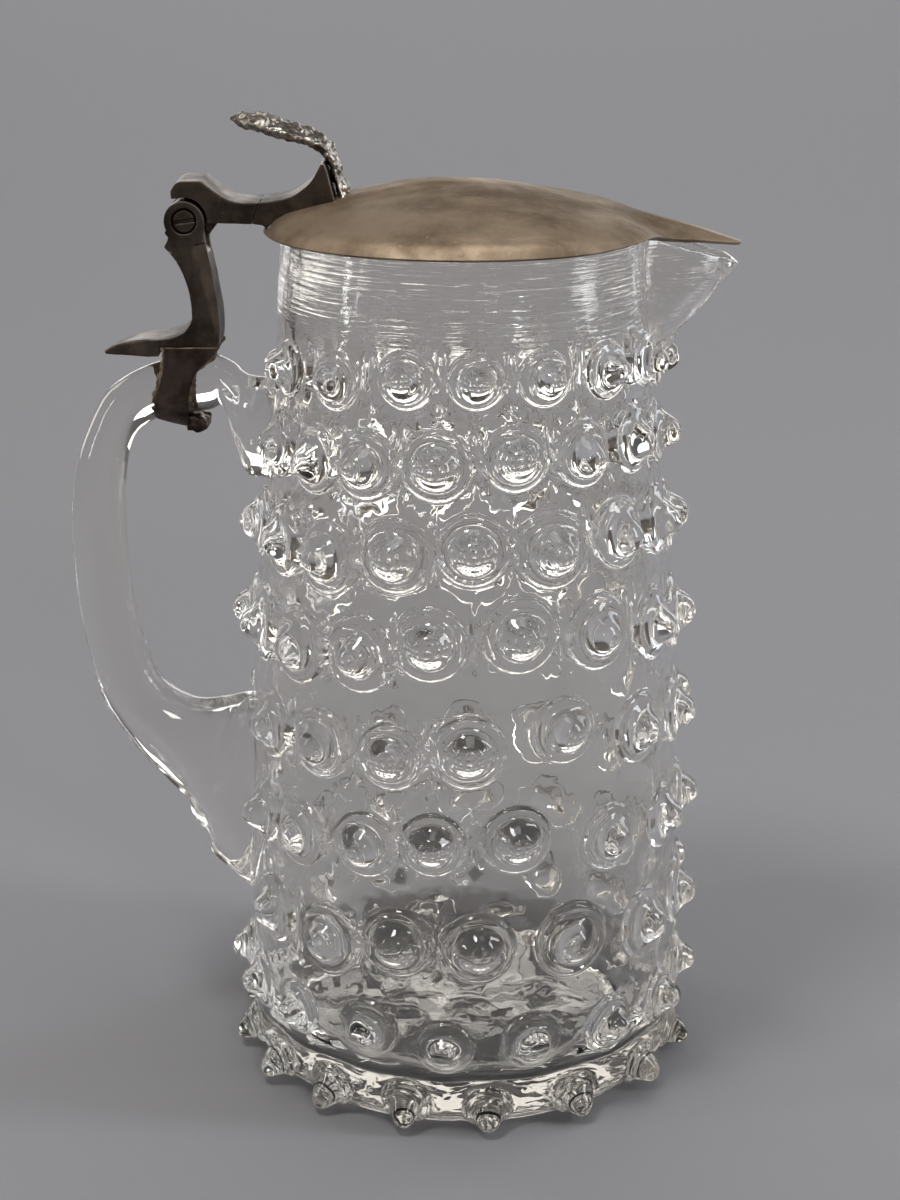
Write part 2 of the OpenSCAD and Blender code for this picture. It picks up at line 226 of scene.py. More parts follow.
# %% The floor that sweeps up behind
# in metres: where the sheet starts to bend, the bend's radius, its front, top and half width
BEND_FROM, BEND_R, SHEET_FRONT, SHEET_TOP, SHEET_HALF = 0.55, 0.6, -2.4, 1.6, 1.7


def sweep_line():
    """(y, z) down the middle of the sheet, from its front edge to its top edge."""
    flat = [(SHEET_FRONT, 0.0), (0.0, 0.0), (BEND_FROM, 0.0)]
    bend = [(BEND_FROM + BEND_R * math.sin(a), BEND_R * (1 - math.cos(a)))
            for a in np.radians(np.linspace(6, 90, 15))]
    return flat + bend + [(BEND_FROM + BEND_R, SHEET_TOP)]


floor_points = [(x, y, z) for y, z in sweep_line() for x in (-SHEET_HALF, SHEET_HALF)]
floor = mesh_object("floor", floor_points,
                    [(2 * i, 2 * i + 1, 2 * i + 3, 2 * i + 2)
                     for i in range(len(floor_points) // 2 - 1)])
paper, _, paper_shader = new_material("pale_paper")
paper_shader.inputs["Base Color"].default_value = (0.283, 0.285, 0.306, 1)
paper_shader.inputs["Roughness"].default_value = 0.9
floor.data.materials.append(paper)
print("floor made of", len(floor.data.polygons), "strips")


# %% Soft lights
JUG_MIDDLE = Vector((0, 0, 0.13))
# name, place, width, height, brightness and colour. The last three stand just outside the
# picture, where the glass bends their light in, so they make the knobs' rings bright.
SOFT_BOXES = [
    ("key_above", (-0.30, -0.30, 1.05), 0.22, 0.22, 22.0, (1, 0.985, 0.96)),
    ("side_right", (0.85, -0.15, 0.50), 0.16, 0.6, 10.0, (0.95, 0.975, 1)),
    ("side_left", (-0.9, -0.25, 0.42), 0.05, 0.5, 16.0, (1, 1, 1)),
    ("front_window", (0.35, -1.2, 0.75), 0.16, 0.26, 18.0, (1, 0.97, 0.92)),
    ("ceiling", (0.1, 0.0, 1.35), 0.7, 0.7, 2.5, (1, 0.985, 0.96)),
    ("back_above", (0, 1.02, 0.32), 1.2, 0.42, 2.5, (1, 0.98, 0.95)),
    ("back_left", (-0.82, 0.62, 0.45), 0.26, 0.7, 3.0, (1, 0.93, 0.84)),
    ("back_right", (0.82, 0.62, 0.45), 0.26, 0.7, 3.4, (0.88, 0.94, 1)),
]


def soft_light(name, place, wide, tall, radiance, colour):
    """A soft box that faces the jug, as bright as radiance all over. The camera doesn't see
    it, but glass and metal do."""
    data = bpy.data.lights.new(name, "AREA")
    data.shape, data.size, data.size_y = "RECTANGLE", wide, tall
    data.energy, data.color = math.pi * wide * tall * radiance, colour
    lamp = bpy.data.objects.new(name, data)
    lamp.location = place
    lamp.rotation_euler = (JUG_MIDDLE - Vector(place)).to_track_quat("-Z", "Y").to_euler()
    lamp.visible_camera = False
    bpy.context.collection.objects.link(lamp)


for box in SOFT_BOXES:
    soft_light(*box)
print(len(SOFT_BOXES), "soft boxes")

# %% The room and the light inside the glass
world = bpy.data.worlds.new("room")
world.use_nodes = True
room = world.node_tree.nodes["Background"]
room.inputs["Color"].default_value = (0.30, 0.26, 0.22, 1)
room.inputs["Strength"].default_value = 0.35
scene = bpy.context.scene
scene.world = world
scene.view_settings.view_transform = "Standard"
# light that is caught inside the glass turns round many times before it gets out. Each turn
# against the inside of a surface counts as glossy, and each pass through one as transmission.
scene.cycles.transmission_bounces = scene.cycles.glossy_bounces = 96
scene.cycles.max_bounces = 112
scene.cycles.caustics_refractive, scene.cycles.caustics_reflective = True, False
print("light may turn", scene.cycles.max_bounces, "times")

# %% [markdown]
# ## The glass wall
# The jug was blown and drawn by hand: a thick base, a wall that narrows to the mouth, and
# a lip pulled out of the neck. A lathe modifier could turn the profile but not the lip.
# So every point of the wall asks two questions: how far out is the turned wall here, and how
# far out is the pulled lip? A soft maximum of the two joins them with a fillet, as hot glass
# does. Both answers are plain functions of an angle and a height, which the cells further
# down read for the neck, for the inside and for the outer wall under the knobs.

# %% The turned profile
WALL_OUT = [(54, 1.1), (56.2, 3.6), (57.1, 8), (57.3, 15), (57.3, 37.5), (56.8, 64), (56, 90),
            (54.8, 115.5), (52.7, 139.5), (50.2, 162), (48.2, 183), (47.5, 197), (47, 208),
            (46.2, 217), (45.9, 223.4)]
RIM_Z, WALL = 223.4, 3.4
wall_z = np.array([p[1] for p in WALL_OUT], float)
wall_r = np.array([p[0] for p in WALL_OUT], float)


def hermite(x, xs, ys):
    """A smooth curve through the points (xs, ys), read at x."""
    slope = np.gradient(ys, xs)
    i = np.clip(np.searchsorted(xs, x) - 1, 0, len(xs) - 2)
    gap = xs[i + 1] - xs[i]
    t = np.clip((x - xs[i]) / gap, 0, 1)
    return ((2 * t ** 3 - 3 * t ** 2 + 1) * ys[i] + (t ** 3 - 2 * t ** 2 + t) * gap * slope[i]
            + (3 * t ** 2 - 2 * t ** 3) * ys[i + 1] + (t ** 3 - t ** 2) * gap * slope[i + 1])


def turned_out_radius(z):
    return hermite(z, wall_z, wall_r)


def wall_thickness(z):
    """The wall thins out from 3.7 mm at the floor to 3.0 mm at the rim."""
    return WALL * (1.08 - 0.2 * z / RIM_Z)


print("radius at the foot, middle and neck:",
      [round(float(turned_out_radius(z)), 1) for z in (10.0, 110.0, 210.0)])

# %% The pulled lip
LIP_ROOT, LIP_LENGTH, LIP_SLOPE = (42.0, 207.0), 24.0, math.radians(71.7)
# radius of the trough at its root and at its tip, outside and inside, and of the brim's plan
LIP_OUTSIDE, LIP_INSIDE, LIP_BRIM = (16.0, 4.5), (12.9, 0.7), (16.0, 3.4)
LIP_FROM, LIP_FILLET, LIP_TURN = 187.0, 6.0, 0.6
BRIM_R, BRIM_READ_AT, BRIM_FALL = 45.9, 215.5, 0.378
along = (math.sin(LIP_SLOPE), math.cos(LIP_SLOPE))


def lip_reach(angle, z, big, small):
    """How far from the axis a trough of radius big at the root and small at the tip
    reaches, at an angle from the spout and a height, both arrays of one shape."""
    r = np.linspace(38, 70, 321).reshape((-1,) + (1,) * angle.ndim)
    x, y = r * np.cos(angle), r * np.sin(angle)
    s = (x - LIP_ROOT[0]) * along[0] + (z - LIP_ROOT[1]) * along[1]
    p = -(x - LIP_ROOT[0]) * along[1] + (z - LIP_ROOT[1]) * along[0]
    radius = big - (big - small) * np.clip(s / LIP_LENGTH, 0, 1) ** 1.5
    past = np.maximum(s - LIP_LENGTH, 0)
    inside = (y ** 2 + np.minimum(p, 0) ** 2 + past ** 2 <= radius ** 2) & (np.cos(angle) > 0)
    return np.where(inside, r, 0).max(axis=0)


def soft_max(a, b, width):
    """The greater of a and b, with a fillet where they are less than width apart."""
    near = np.maximum(width - np.abs(a - b), 0) / width
    return np.maximum(a, b) + near * near * width / 4


def brim_height(angle):
    """Height of the brim: level round the neck, and running down to the lip's tip."""
    reach = soft_max(np.full_like(angle, BRIM_R),
                     lip_reach(angle, np.full_like(angle, BRIM_READ_AT), *LIP_BRIM), 3.0)
    drop = soft_max(np.zeros_like(angle), (reach * np.cos(angle) - 42.5) * BRIM_FALL, 2.0)
    return RIM_Z - drop


tip_fall = RIM_Z - float(brim_height(np.zeros(1))[0])
print("the brim falls by", round(tip_fall, 1), "mm at the tip")

# %% [markdown]
# ## Places of the knobs
# The knobs pull the wall with them, so their places are needed before the wall is made.
# Each row is a list of angles and heights. The near knobs are set where the photograph
# shows them; the far ones follow on evenly, in rows that sag a little round the back.

# %% Where the knobs sit
# sag round the back, foot radius, rise, tilt down, clear of the handle, near knobs, far number
ROWS = [
    (11, 6.9, 1, 0, True, [(-63, 191), (-40, 191), (-17, 193), (3, 193), (23, 193), (45, 193),
                            (66, 193)], 9),
    (12, 8.3, 1, 0, True, [(-66, 172), (-47, 171), (-29, 172), (-8, 173), (14, 174.6), (35, 174),
                            (56, 174.6), (78, 173)], 9),
    (11, 9.2, 0.98, 0, False, [(-80, 149), (-59, 149), (-40, 148), (-19, 151), (2, 153),
                                (24, 152), (47, 153), (69, 152)], 8),
    (9, 9.7, 0.95, 0, False, [(-69, 125), (-49, 124), (-28, 126), (-9, 130), (14, 132),
                                (37, 130), (61, 127)], 9),
    (8, 8.9, 0.92, 0, True, [(-61, 100), (-40, 101), (-19, 101), (1, 103), (26, 107),
                             (51, 102)], 9),
    (6, 8.5, 0.9, 0, True, [(-65, 75), (-47, 75), (-26, 77), (-8, 79), (13, 80), (40, 76),
                             (64, 74)], 9),
    (3, 9.5, 0.87, 0, True, [(-59, 50), (-37, 49), (-17, 52), (3.5, 51.5), (28, 51),
                              (54, 48)], 9),
    (0, 7.5, 0.9, 4, False, [(-67, 26), (-48, 26), (-25, 27), (-5, 24), (17, 25), (40, 24),
                              (63, 23)], 9),
    (0, 6.4, 0.97, 30, False, [(-80, 7), (-58, 7), (-37, 7), (-15, 7.5), (6, 6.5), (30, 6.5),
                                (55, 6.5)], 9),
]
KNOB_RISE, FOOT_SPREAD, HANDLE_CLEAR = 6.2, 0.045, 17
chance = np.random.default_rng(SEED)


def knob_places():
    """(angle from the spout, height, foot, rise, tilt, row) of each knob, in radians and mm."""
    places = []
    for row, (sag, foot, rise, tilt, clear, near, far) in enumerate(ROWS):
        (last, last_z), (first, first_z) = near[-1], near[0]
        whole = list(near)
        for i in range(1, far + 1):
            part = i / (far + 1)
            whole.append((last + (first + 360 - last) * part,
                          last_z + (first_z - last_z) * part - sag * math.sin(math.pi * part)))
        for turn, z in whole:
            off_handle = abs((turn + 90 + 540) % 360 - 180)
            size = foot * (1 + chance.uniform(-FOOT_SPREAD, FOOT_SPREAD))
            if not clear or off_handle > HANDLE_CLEAR:
                places.append((math.radians(turn - 90), z, size, KNOB_RISE * rise,
                               math.radians(tilt), row))
    return places


KNOBS = knob_places()
knob_turn, knob_z, knob_foot, knob_rise, knob_tilt, knob_row = np.array(KNOBS, float).T
knob_wall = turned_out_radius(knob_z)
print(len(KNOBS), "knobs in", len(ROWS), "rows")

# %% [markdown]
# ## The outer wall is a net
# A gather of hot glass was pressed on the wall and drawn to a point with tongs. That left a
# round foot with a step at its edge, a smooth belt and a nipple, and a groove where two feet
# push against each other. Separate knobs joined on by booleans leave a ragged seam, and
# clear glass shows every seam twice. So the wall is rolled out flat first: rings of points
# round each knob and a loose grid between them, joined by a Delaunay triangulation. Each
# point knows its own height, and Geometry Nodes roll the net up again.

# %% The shape of one knob
# distance in parts of the foot's radius and height in mm of the foot
FOOT_LINE = [(0.80, 1.15), (0.86, 1.14), (0.90, 1.11), (0.93, 1.02), (0.952, 0.85), (0.972, 0.58),
             (0.992, 0.31), (1.012, 0.14), (1.045, 0.05), (1.11, 0.015), (1.28, 0.0)]
# distance in mm and height in parts of the nipple
NIPPLE_LINE = [(0, 1), (0.9, 0.985), (1.8, 0.94), (2.5, 0.87), (3.1, 0.765), (3.6, 0.64),
               (4.05, 0.51), (4.5, 0.38), (4.95, 0.265), (5.45, 0.16), (6.0, 0.08), (6.7, 0.025),
               (7.5, 0.0)]
foot_part, foot_high = np.array(FOOT_LINE).T
nipple_far, nipple_high = np.array(NIPPLE_LINE).T
knob_nipple = np.clip(knob_foot / 8.8, 0.76, 1.03)
# one radian is SPREAD mm wide on the flat net, and a ring round a knob has SIDES points
SPREAD, SIDES = 52.0, 24


def round_gap(angle, turn):
    """The way from turn to angle, the short way round."""
    return (angle - turn + math.pi) % (2 * math.pi) - math.pi


def knob_distance(angle, v, k):
    """mm from the middle of knob k, measured on the wall."""
    return np.hypot(round_gap(angle, knob_turn[k]) * knob_wall[k], v - knob_z[k])


def knob_height(far, k):
    """Height of knob k in mm, at distances in mm from its middle."""
    foot = np.interp(far / knob_foot[k], foot_part, foot_high)
    nipple = np.interp(far / knob_nipple[k], nipple_far, nipple_high)
    return foot + nipple * (knob_rise[k] - foot_high[0])


print("a knob of", KNOB_RISE, "mm is", round(float(knob_height(np.array(4.0), 0)), 1),
      "mm high 4 mm from its middle")


# %% What the knobs do to the wall
# the widest gap that has a groove, its depth and reach, and the half gaps where it fades out
WIDEST_GAP, GROOVE_DEEP, GROOVE_REACH, FADED_AT, FADES_OVER = 23.0, 1.2, 8.0, 12.5, 3.0


def pull(angle, z, reach):
    """0 to 1: how much of the nearest knobs' pull is felt at a place on the wall."""
    total = np.zeros(np.broadcast(angle, z).shape)
    for k in range(len(KNOBS)):
        total += np.exp(-(knob_distance(angle, z, k) / (knob_foot[k] * reach)) ** 2)
    return np.minimum(total, 1.2)


def neighbour_pairs():
    """(middle angle, middle height, half the gap in mm) of knobs that stand side by side."""
    pairs = []
    for row in range(len(ROWS) - 2):
        own = sorted(np.flatnonzero(knob_row == row), key=lambda k: knob_turn[k] % (2 * math.pi))
        for a, b in zip(own, own[1:] + own[:1]):
            gap = round_gap(knob_turn[b], knob_turn[a])
            if gap * knob_wall[a] < WIDEST_GAP:
                pairs.append((knob_turn[a] + gap / 2, (knob_z[a] + knob_z[b]) / 2,
                              gap * knob_wall[a] / 2))
    return pairs


PAIRS = neighbour_pairs()


def grooves(angle, z):
    """Depth in mm of the grooves between neighbours, wider at their lower ends."""
    depth = np.zeros(np.broadcast(angle, z).shape)
    for turn, level, half in PAIRS:
        up = z - level
        width = 0.8 + 0.10 * np.clip(-up, 0, 9)
        across = round_gap(angle, turn) * SPREAD
        own = np.exp(-(across / width) ** 2) * np.exp(-(up / GROOVE_REACH) ** 6)
        depth = np.maximum(depth, own * GROOVE_DEEP * np.clip((FADED_AT - half) / FADES_OVER, 0, 1))
    return depth


def ripple(x, y, z, size, height, layer):
    """Soft waves of a size and height in mm, different on each layer."""
    return height * np.array([noise.noise(Vector((a / size, b / size, c / size + 31 * layer)))
                              for a, b, c in zip(x.ravel(), y.ravel(), z.ravel())]).reshape(x.shape)


print(len(PAIRS), "grooves between neighbouring knobs")

# %% The wall without its knobs
NET_TOP, NET_LOW = 204.0, -4.1
# the rounded edge of the base, unrolled: place on the net, radius and height
EDGE_V, EDGE_R, EDGE_Z = [-4.1, -2.1, -0.5, 1.1], [49.0, 51.0, 52.6, 54.0], [0, 0, 0.35, 1.1]
# size and height in mm and number of the soft waves on the outside and the inside
WAVES_OUT, WAVES_IN = (17.0, 0.16, 0), (17.0, 0.34, 1)


def outer_wall(angle, v, blend=0.0):
    """Radius and height of the outer wall without knobs, at an angle and a place on the net."""
    z = np.where(v < EDGE_V[-1], np.interp(v, EDGE_V, EDGE_Z), v)
    r = np.where(v < EDGE_V[-1], np.interp(v, EDGE_V, EDGE_R),
                 turned_out_radius(np.maximum(v, EDGE_V[-1])))
    calm = np.clip((v - 2) / 8, 0, 1)
    r = r + (0.7 * pull(angle, v, 1.0) * calm - grooves(angle, v)) * (1 - blend)
    off_lip = round_gap(angle, 0.0)
    near_lip = np.flatnonzero((z > LIP_FROM) & (np.abs(off_lip) < LIP_TURN))
    reach = np.zeros_like(r)
    reach[near_lip] = lip_reach(off_lip[near_lip], z[near_lip], *LIP_OUTSIDE)
    r = soft_max(r, reach, LIP_FILLET)
    return r + calm * ripple(r * np.cos(angle), r * np.sin(angle), z, *WAVES_OUT), z


def inner_wall(angle, level, blend):
    """Radius of the inner wall; blend goes from 0 at the net's top to 1 at the brim."""
    r = turned_out_radius(level) - wall_thickness(level)
    r = r + pull(angle, level, 0.70) * 1.5 * (1 - blend)
    # the neck is thicker on the side of the handle
    r = r - blend * 1.6 * np.clip(-np.cos(angle), 0, 1) ** 2
    if level.max() > LIP_FROM:
        r = soft_max(r, lip_reach(angle, level, *LIP_INSIDE), LIP_FILLET)
    # tool marks run round the neck
    marks = 0.2 * np.array([noise.noise(Vector((0.3, math.cos(a), z / 1.5 + 0.4 * math.sin(a))))
                             for a, z in zip(angle, level)])
    return r + ripple(r * np.cos(angle), r * np.sin(angle), level, *WAVES_IN) + blend * marks


fine = np.radians(np.linspace(-24, 24, 57))
coarse = np.radians(np.linspace(24, 336, 145)[1:-1])
angles = np.concatenate([fine, coarse])
brim = brim_height(angles)
print("rings of the neck have", len(angles), "points")

# %% Points of the flat net
GROOVE_COLUMNS, GROOVE_UP = (-1.15, 0.0, 1.15), np.linspace(-9.5, 8, 13)


def groove_distance(angle, v):
    """mm from the nearest groove's column of points."""
    nearest = np.full(len(angle), 99.0)
    for turn, level, _ in PAIRS:
        across, up = round_gap(angle, turn) * SPREAD, v - level
        past = np.maximum(np.maximum(GROOVE_UP[0] - up, up - GROOVE_UP[-1]), 0)
        for column in GROOVE_COLUMNS:
            nearest = np.minimum(nearest, np.hypot(across - column, past))
    return nearest


def groove_places():
    """Columns of points that follow the middle and both banks of every groove."""
    a, v = [], []
    for turn, level, _ in PAIRS:
        for column in GROOVE_COLUMNS:
            a.append(np.full(len(GROOVE_UP), turn + column / SPREAD))
            v.append(level + GROOVE_UP)
    a, v = np.concatenate(a), np.concatenate(v)
    keep = np.ones(len(a), bool)
    for k in range(len(KNOBS)):
        keep &= knob_distance(a, v, k) > 0.93 * knob_foot[k]
    return a[keep], v[keep]


def ring_places():
    """Angles and places on the net of the rings round every knob."""
    found_angle, found_v = [], []
    for k in range(len(KNOBS)):
        radii = [(p * knob_foot[k], SIDES) for p in foot_part]
        radii += [(d * knob_nipple[k], SIDES if d > 2 else SIDES // 2) for d in nipple_far[1:]
                  if d * knob_nipple[k] < foot_part[0] * knob_foot[k] - 0.3]
        radii.sort()
        a, v = [np.array([knob_turn[k]])], [np.array([knob_z[k]])]
        for i, (radius, sides) in enumerate(radii):
            # all rings start on one ray, so the triangles keep to the rings
            turn = (np.arange(sides) + 0.01 * i) * 2 * math.pi / sides
            a.append(knob_turn[k] + radius * np.cos(turn) / knob_wall[k])
            v.append(knob_z[k] + radius * np.sin(turn))
        a, v = np.concatenate(a), np.concatenate(v)
        own = knob_distance(a, v, k) / knob_foot[k]
        rivals = [j for j in range(len(KNOBS)) if j != k
                  and knob_distance(knob_turn[k], knob_z[k], j) < 30]
        keep = np.ones(len(a), bool)
        for j in rivals:
            keep &= own < knob_distance(a, v, j) / knob_foot[j] - 0.02
        keep &= groove_distance(a, v) > 0.45
        found_angle.append(a[keep])
        found_v.append(v[keep])
    return np.concatenate(found_angle), np.concatenate(found_v)


def grid_places(step, low, high, half_turn):
    """A loose staggered grid on the net, left out where knobs stand."""
    rows_v = np.arange(low, high, step * 0.87)
    a, v = [], []
    for i, level in enumerate(rows_v):
        first = -half_turn + step / SPREAD * (0.25 + 0.5 * (i % 2))
        row = np.arange(first, half_turn, step / SPREAD)
        a.append(row)
        v.append(np.full_like(row, level))
    a, v = np.concatenate(a), np.concatenate(v)
    a = a + chance.uniform(-0.1, 0.1, len(a)) * step / SPREAD
    v = v + chance.uniform(-0.1, 0.1, len(v)) * step
    keep = np.ones(len(a), bool)
    for k in range(len(KNOBS)):
        keep &= knob_distance(a, v, k) > (foot_part[-1] + 0.07) * knob_foot[k]
    keep &= groove_distance(a, v) > 0.9
    return a[keep], v[keep]


ring_a, ring_v = ring_places()
groove_a, groove_v = groove_places()
# steps of the grid in mm, and half the lip's part of it in radians
COARSE_STEP, LIP_STEP, LIP_GRID = 2.3, 1.0, 0.42
grid_a, grid_v = grid_places(COARSE_STEP, NET_LOW + 1.0, NET_TOP - 0.9, math.pi)
lip_a, lip_v = grid_places(LIP_STEP, LIP_FROM, NET_TOP - 0.9, LIP_GRID)
clear_of_lip = (grid_v < LIP_FROM - 0.5) | (np.abs(grid_a) > LIP_GRID + 0.01)
inside_a = np.concatenate([ring_a, groove_a, grid_a[clear_of_lip], lip_a])
inside_v = np.concatenate([ring_v, groove_v, grid_v[clear_of_lip], lip_v])
inside = (inside_v > NET_LOW + 0.5) & (inside_v < NET_TOP - 0.5)
net_angle = round_gap(np.concatenate([inside_a[inside], angles, angles]), 0.0)
net_v = np.concatenate([inside_v[inside], np.full_like(angles, NET_TOP),
                        np.full_like(angles, NET_LOW)])
print("the net has", len(net_angle), "points")


# %% Triangles of the flat net
def net_triangles():
    """Delaunay triangles of the net, closed round the back where its two sides meet."""
    whole, overlap = 2 * math.pi * SPREAD, 16.0
    u = net_angle * SPREAD
    again_low = np.flatnonzero(u > whole / 2 - overlap)
    again_high = np.flatnonzero(u < overlap - whole / 2)
    index = np.concatenate([np.arange(len(u)), again_low, again_high])
    all_u = np.concatenate([u, u[again_low] - whole, u[again_high] + whole])
    flat = [Vector(p) for p in zip(all_u, net_v[index])]
    made = delaunay_2d_cdt(flat, [], [], 0, 1e-5, True)
    place, triangles, came_from = made[0], made[2], made[3]
    kept = []
    # the cut is a little beside the back, where no triangle's middle lies on it
    cut = 0.137 - whole / 2
    for triangle in triangles:
        middle = sum(place[i].x for i in triangle) / 3
        if cut <= middle < cut + whole:
            kept.append(tuple(int(index[came_from[i][0]]) for i in triangle))
    return kept


triangles = net_triangles()
print("and", len(triangles), "triangles")


# %% Heights on the net
CREASE = 0.25


def knob_field(angle, v):
    """Height in mm and number of the knob at every place on the net."""
    first, second = np.zeros(len(angle)), np.zeros(len(angle))
    owner = np.zeros(len(angle))
    for k in range(len(KNOBS)):
        far = knob_distance(angle, v, k)
        near = np.flatnonzero(far < knob_foot[k] * foot_part[-1])
        high = knob_height(far[near], k)
        better = high > first[near]
        second[near] = np.where(better, first[near], np.maximum(second[near], high))
        first[near] = np.where(better, high, first[near])
        owner[near] = np.where(better, k, owner[near])
    both = soft_max(first, second, CREASE) - CREASE / 4 * (first == second)
    return both, owner.astype(int)


knob_mm, owner = knob_field(net_angle, net_v)
bare_r, bare_z = outer_wall(net_angle, net_v)
flat_net = np.stack([net_angle * SPREAD, net_v, 0 * net_v], axis=1)
net = mesh_object("wall_net", flat_net * MM, triangles)
columns = {
    "turn": net_angle,
    "radius": bare_r * MM,
    "level": bare_z * MM,
    "high": knob_mm / KNOB_RISE,
    "tilt": knob_tilt[owner],
    "knob": owner,
}
for name, values in columns.items():
    net.data.attributes.new(name, "FLOAT", "POINT").data.foreach_set(
        "value", np.asarray(values, np.float32))
print("highest knob:", round(float(knob_mm.max()), 1), "mm")


# %% Neck, inside and underside, from rings
def neck_ring(z, layer):
    """A ring at height z above or inside the net: layer 0 is outside and layer 1 inside."""
    blend = max(0.0, (z - NET_TOP) / (RIM_Z - NET_TOP))
    level = z + (brim - RIM_Z) * blend
    r = outer_wall(angles, level, blend)[0] if layer == 0 else inner_wall(angles, level, blend)
    return np.stack([r * np.cos(angles), r * np.sin(angles), level], axis=1)


def flat_ring(r, z, wave=0.0):
    """A ring of the floor or the underside, with soft waves of a height in mm."""
    x, y = r * np.cos(angles), r * np.sin(angles)
    level = z + (ripple(x, y, np.full_like(x, z), 15.0, wave, 2) if wave else 0 * x)
    return np.stack([x, y, level], axis=1)


RIM_ROUND = 1.1
rings = [neck_ring(z, 0) for z in np.linspace(NET_TOP, RIM_Z - RIM_ROUND, 12)]
edge_out, edge_in = rings[-1], neck_ring(RIM_Z - RIM_ROUND, 1)
for turn in np.radians([30, 60, 90, 120, 150]):
    middle, half = (edge_out + edge_in) / 2, (edge_out - edge_in) / 2
    ring = middle + half * math.cos(turn)
    ring[:, 2] += RIM_ROUND * math.sin(turn)
    rings.append(ring)
inner_levels = np.concatenate([np.linspace(RIM_Z - RIM_ROUND, 200, 14),
                               np.linspace(200, 26, 40)[1:]])
rings += [neck_ring(z, 1) for z in inner_levels]
floor_line = [(53.3, 21.4), (52.4, 17.5), (51.2, 14.4), (49.6, 12.2), (47.5, 10.6), (44.6, 9.5),
              (41, 8.9), (34, 8.6), (26, 8.5), (17, 8.4), (8, 8.4)]
rings += [flat_ring(r, z, 0.5) for r, z in floor_line]
points, faces = skin([ring * MM for ring in rings], end=(0, 0, rings[-1][:, 2].mean() * MM))
HOLLOW = 0.5
under = [flat_ring(r, HOLLOW) for r in (12, 24, 36, 44)]
under += [flat_ring(47, 0.3), flat_ring(EDGE_R[0], 0.0)]
under_points, under_faces = skin([ring * MM for ring in under], start=(0, 0, HOLLOW * MM))
faces += [tuple(i + len(points) for i in face) for face in under_faces]
lining = mesh_object("neck_and_inside", points + under_points, faces)
print("neck and inside:", len(rings), "rings,", len(lining.data.polygons), "faces")


# %% The tree that rolls the net up
def add_inputs(tree, inputs):
    """Gives a tree its geometry sockets and one named input for each (name, kind, value)."""
    tree.interface.new_socket("Geometry", in_out="INPUT", socket_type="NodeSocketGeometry")
    for name, kind, value in inputs:
        socket = tree.interface.new_socket(name, in_out="INPUT", socket_type="NodeSocket" + kind)
        if value is not None:
            socket.default_value = value
    tree.interface.new_socket("Geometry", in_out="OUTPUT", socket_type="NodeSocketGeometry")


def rolling_tree():
    tree = bpy.data.node_groups.new("roll_up_the_wall", "GeometryNodeTree")
    add_inputs(tree, [("Lining", "Object", None), ("Handle", "Object", None),
                      ("Glass", "Material", None), ("Knob rise", "Float", KNOB_RISE * MM),
                      ("Lean", "Float", 0.8 * MM), ("Unevenness", "Float", 0.35 * MM),
                      ("Seam", "Float", 0.004 * MM), ("Seed", "Int", SEED)])
    net = Net(tree)
    given = net.node("NodeGroupInput")

    def value(name):
        return net.node("GeometryNodeInputNamedAttribute", {"data_type": "FLOAT"},
                        {"Name": name})

    random = net.node("FunctionNodeRandomValue", {"data_type": "FLOAT_VECTOR"},
                      {"Min": (-1, -1, -1), "Max": (1, 1, 1), "ID": value("knob"),
                       "Seed": given.of("Seed")})
    lean_round = net.node("ShaderNodeSeparateXYZ", {}, {"Vector": random})
    part = value("high")
    bend = part ** 2 * given.of("Lean")
    out = part * given.of("Knob rise")
    radius = value("radius") + out * value("tilt").cos()
    angle = value("turn") + bend * lean_round / value("radius")
    height = value("level") + bend * lean_round.of("Y") - out * value("tilt").sin()
    height = height.math("MAXIMUM", 0.0)
    rolled = net.node("ShaderNodeCombineXYZ", {},
                      {"X": radius * angle.cos(), "Y": radius * angle.sin(), "Z": height})
    wall = net.node("GeometryNodeSetPosition", {}, {"Geometry": given.of("Geometry"),
                                                    "Position": rolled})
    grain = net.node("ShaderNodeTexNoise", {"noise_dimensions": "3D"},
                     {"Scale": 130.0, "Detail": 0.0}).of("Color")
    grain = net.node("ShaderNodeVectorMath", {"operation": "SUBTRACT"},
                     {0: grain, 1: (0.5, 0.5, 0.5)})
    grain = net.node("ShaderNodeVectorMath", {"operation": "SCALE"},
                     {0: grain, "Scale": given.of("Unevenness") * (part * 6).clamp()})
    wall = net.node("GeometryNodeSetPosition", {}, {"Geometry": wall, "Offset": grain})
    lining = net.node("GeometryNodeObjectInfo", {}, {"Object": given.of("Lining")}).of("Geometry")
    jug = net.node("GeometryNodeJoinGeometry", {}, {"Geometry": [wall, lining]})
    jug = net.node("GeometryNodeMergeByDistance", {},
                   {"Geometry": jug, "Distance": given.of("Seam")})
    grip = net.node("GeometryNodeObjectInfo", {}, {"Object": given.of("Handle")}).of("Geometry")
    union = net.node("GeometryNodeMeshBoolean", {"operation": "UNION", "solver": "MANIFOLD"},
                     {1: [jug, grip]})
    union = net.node("GeometryNodeRealizeInstances", {}, {"Geometry": union})
    union = net.node("GeometryNodeSetMaterial", {},
                     {"Geometry": union, "Material": given.of("Glass")})
    net.node("NodeGroupOutput", {}, {"Geometry": union})
    return tree


def with_inputs(made, tree, **values):
    """Puts a Geometry Nodes modifier on an object and sets its inputs by name."""
    modifier = made.modifiers.new(tree.name, "NODES")
    modifier.node_group = tree
    for item in tree.interface.items_tree:
        if item.in_out == "INPUT" and item.name in values:
            modifier[item.identifier] = values[item.name]
    return modifier


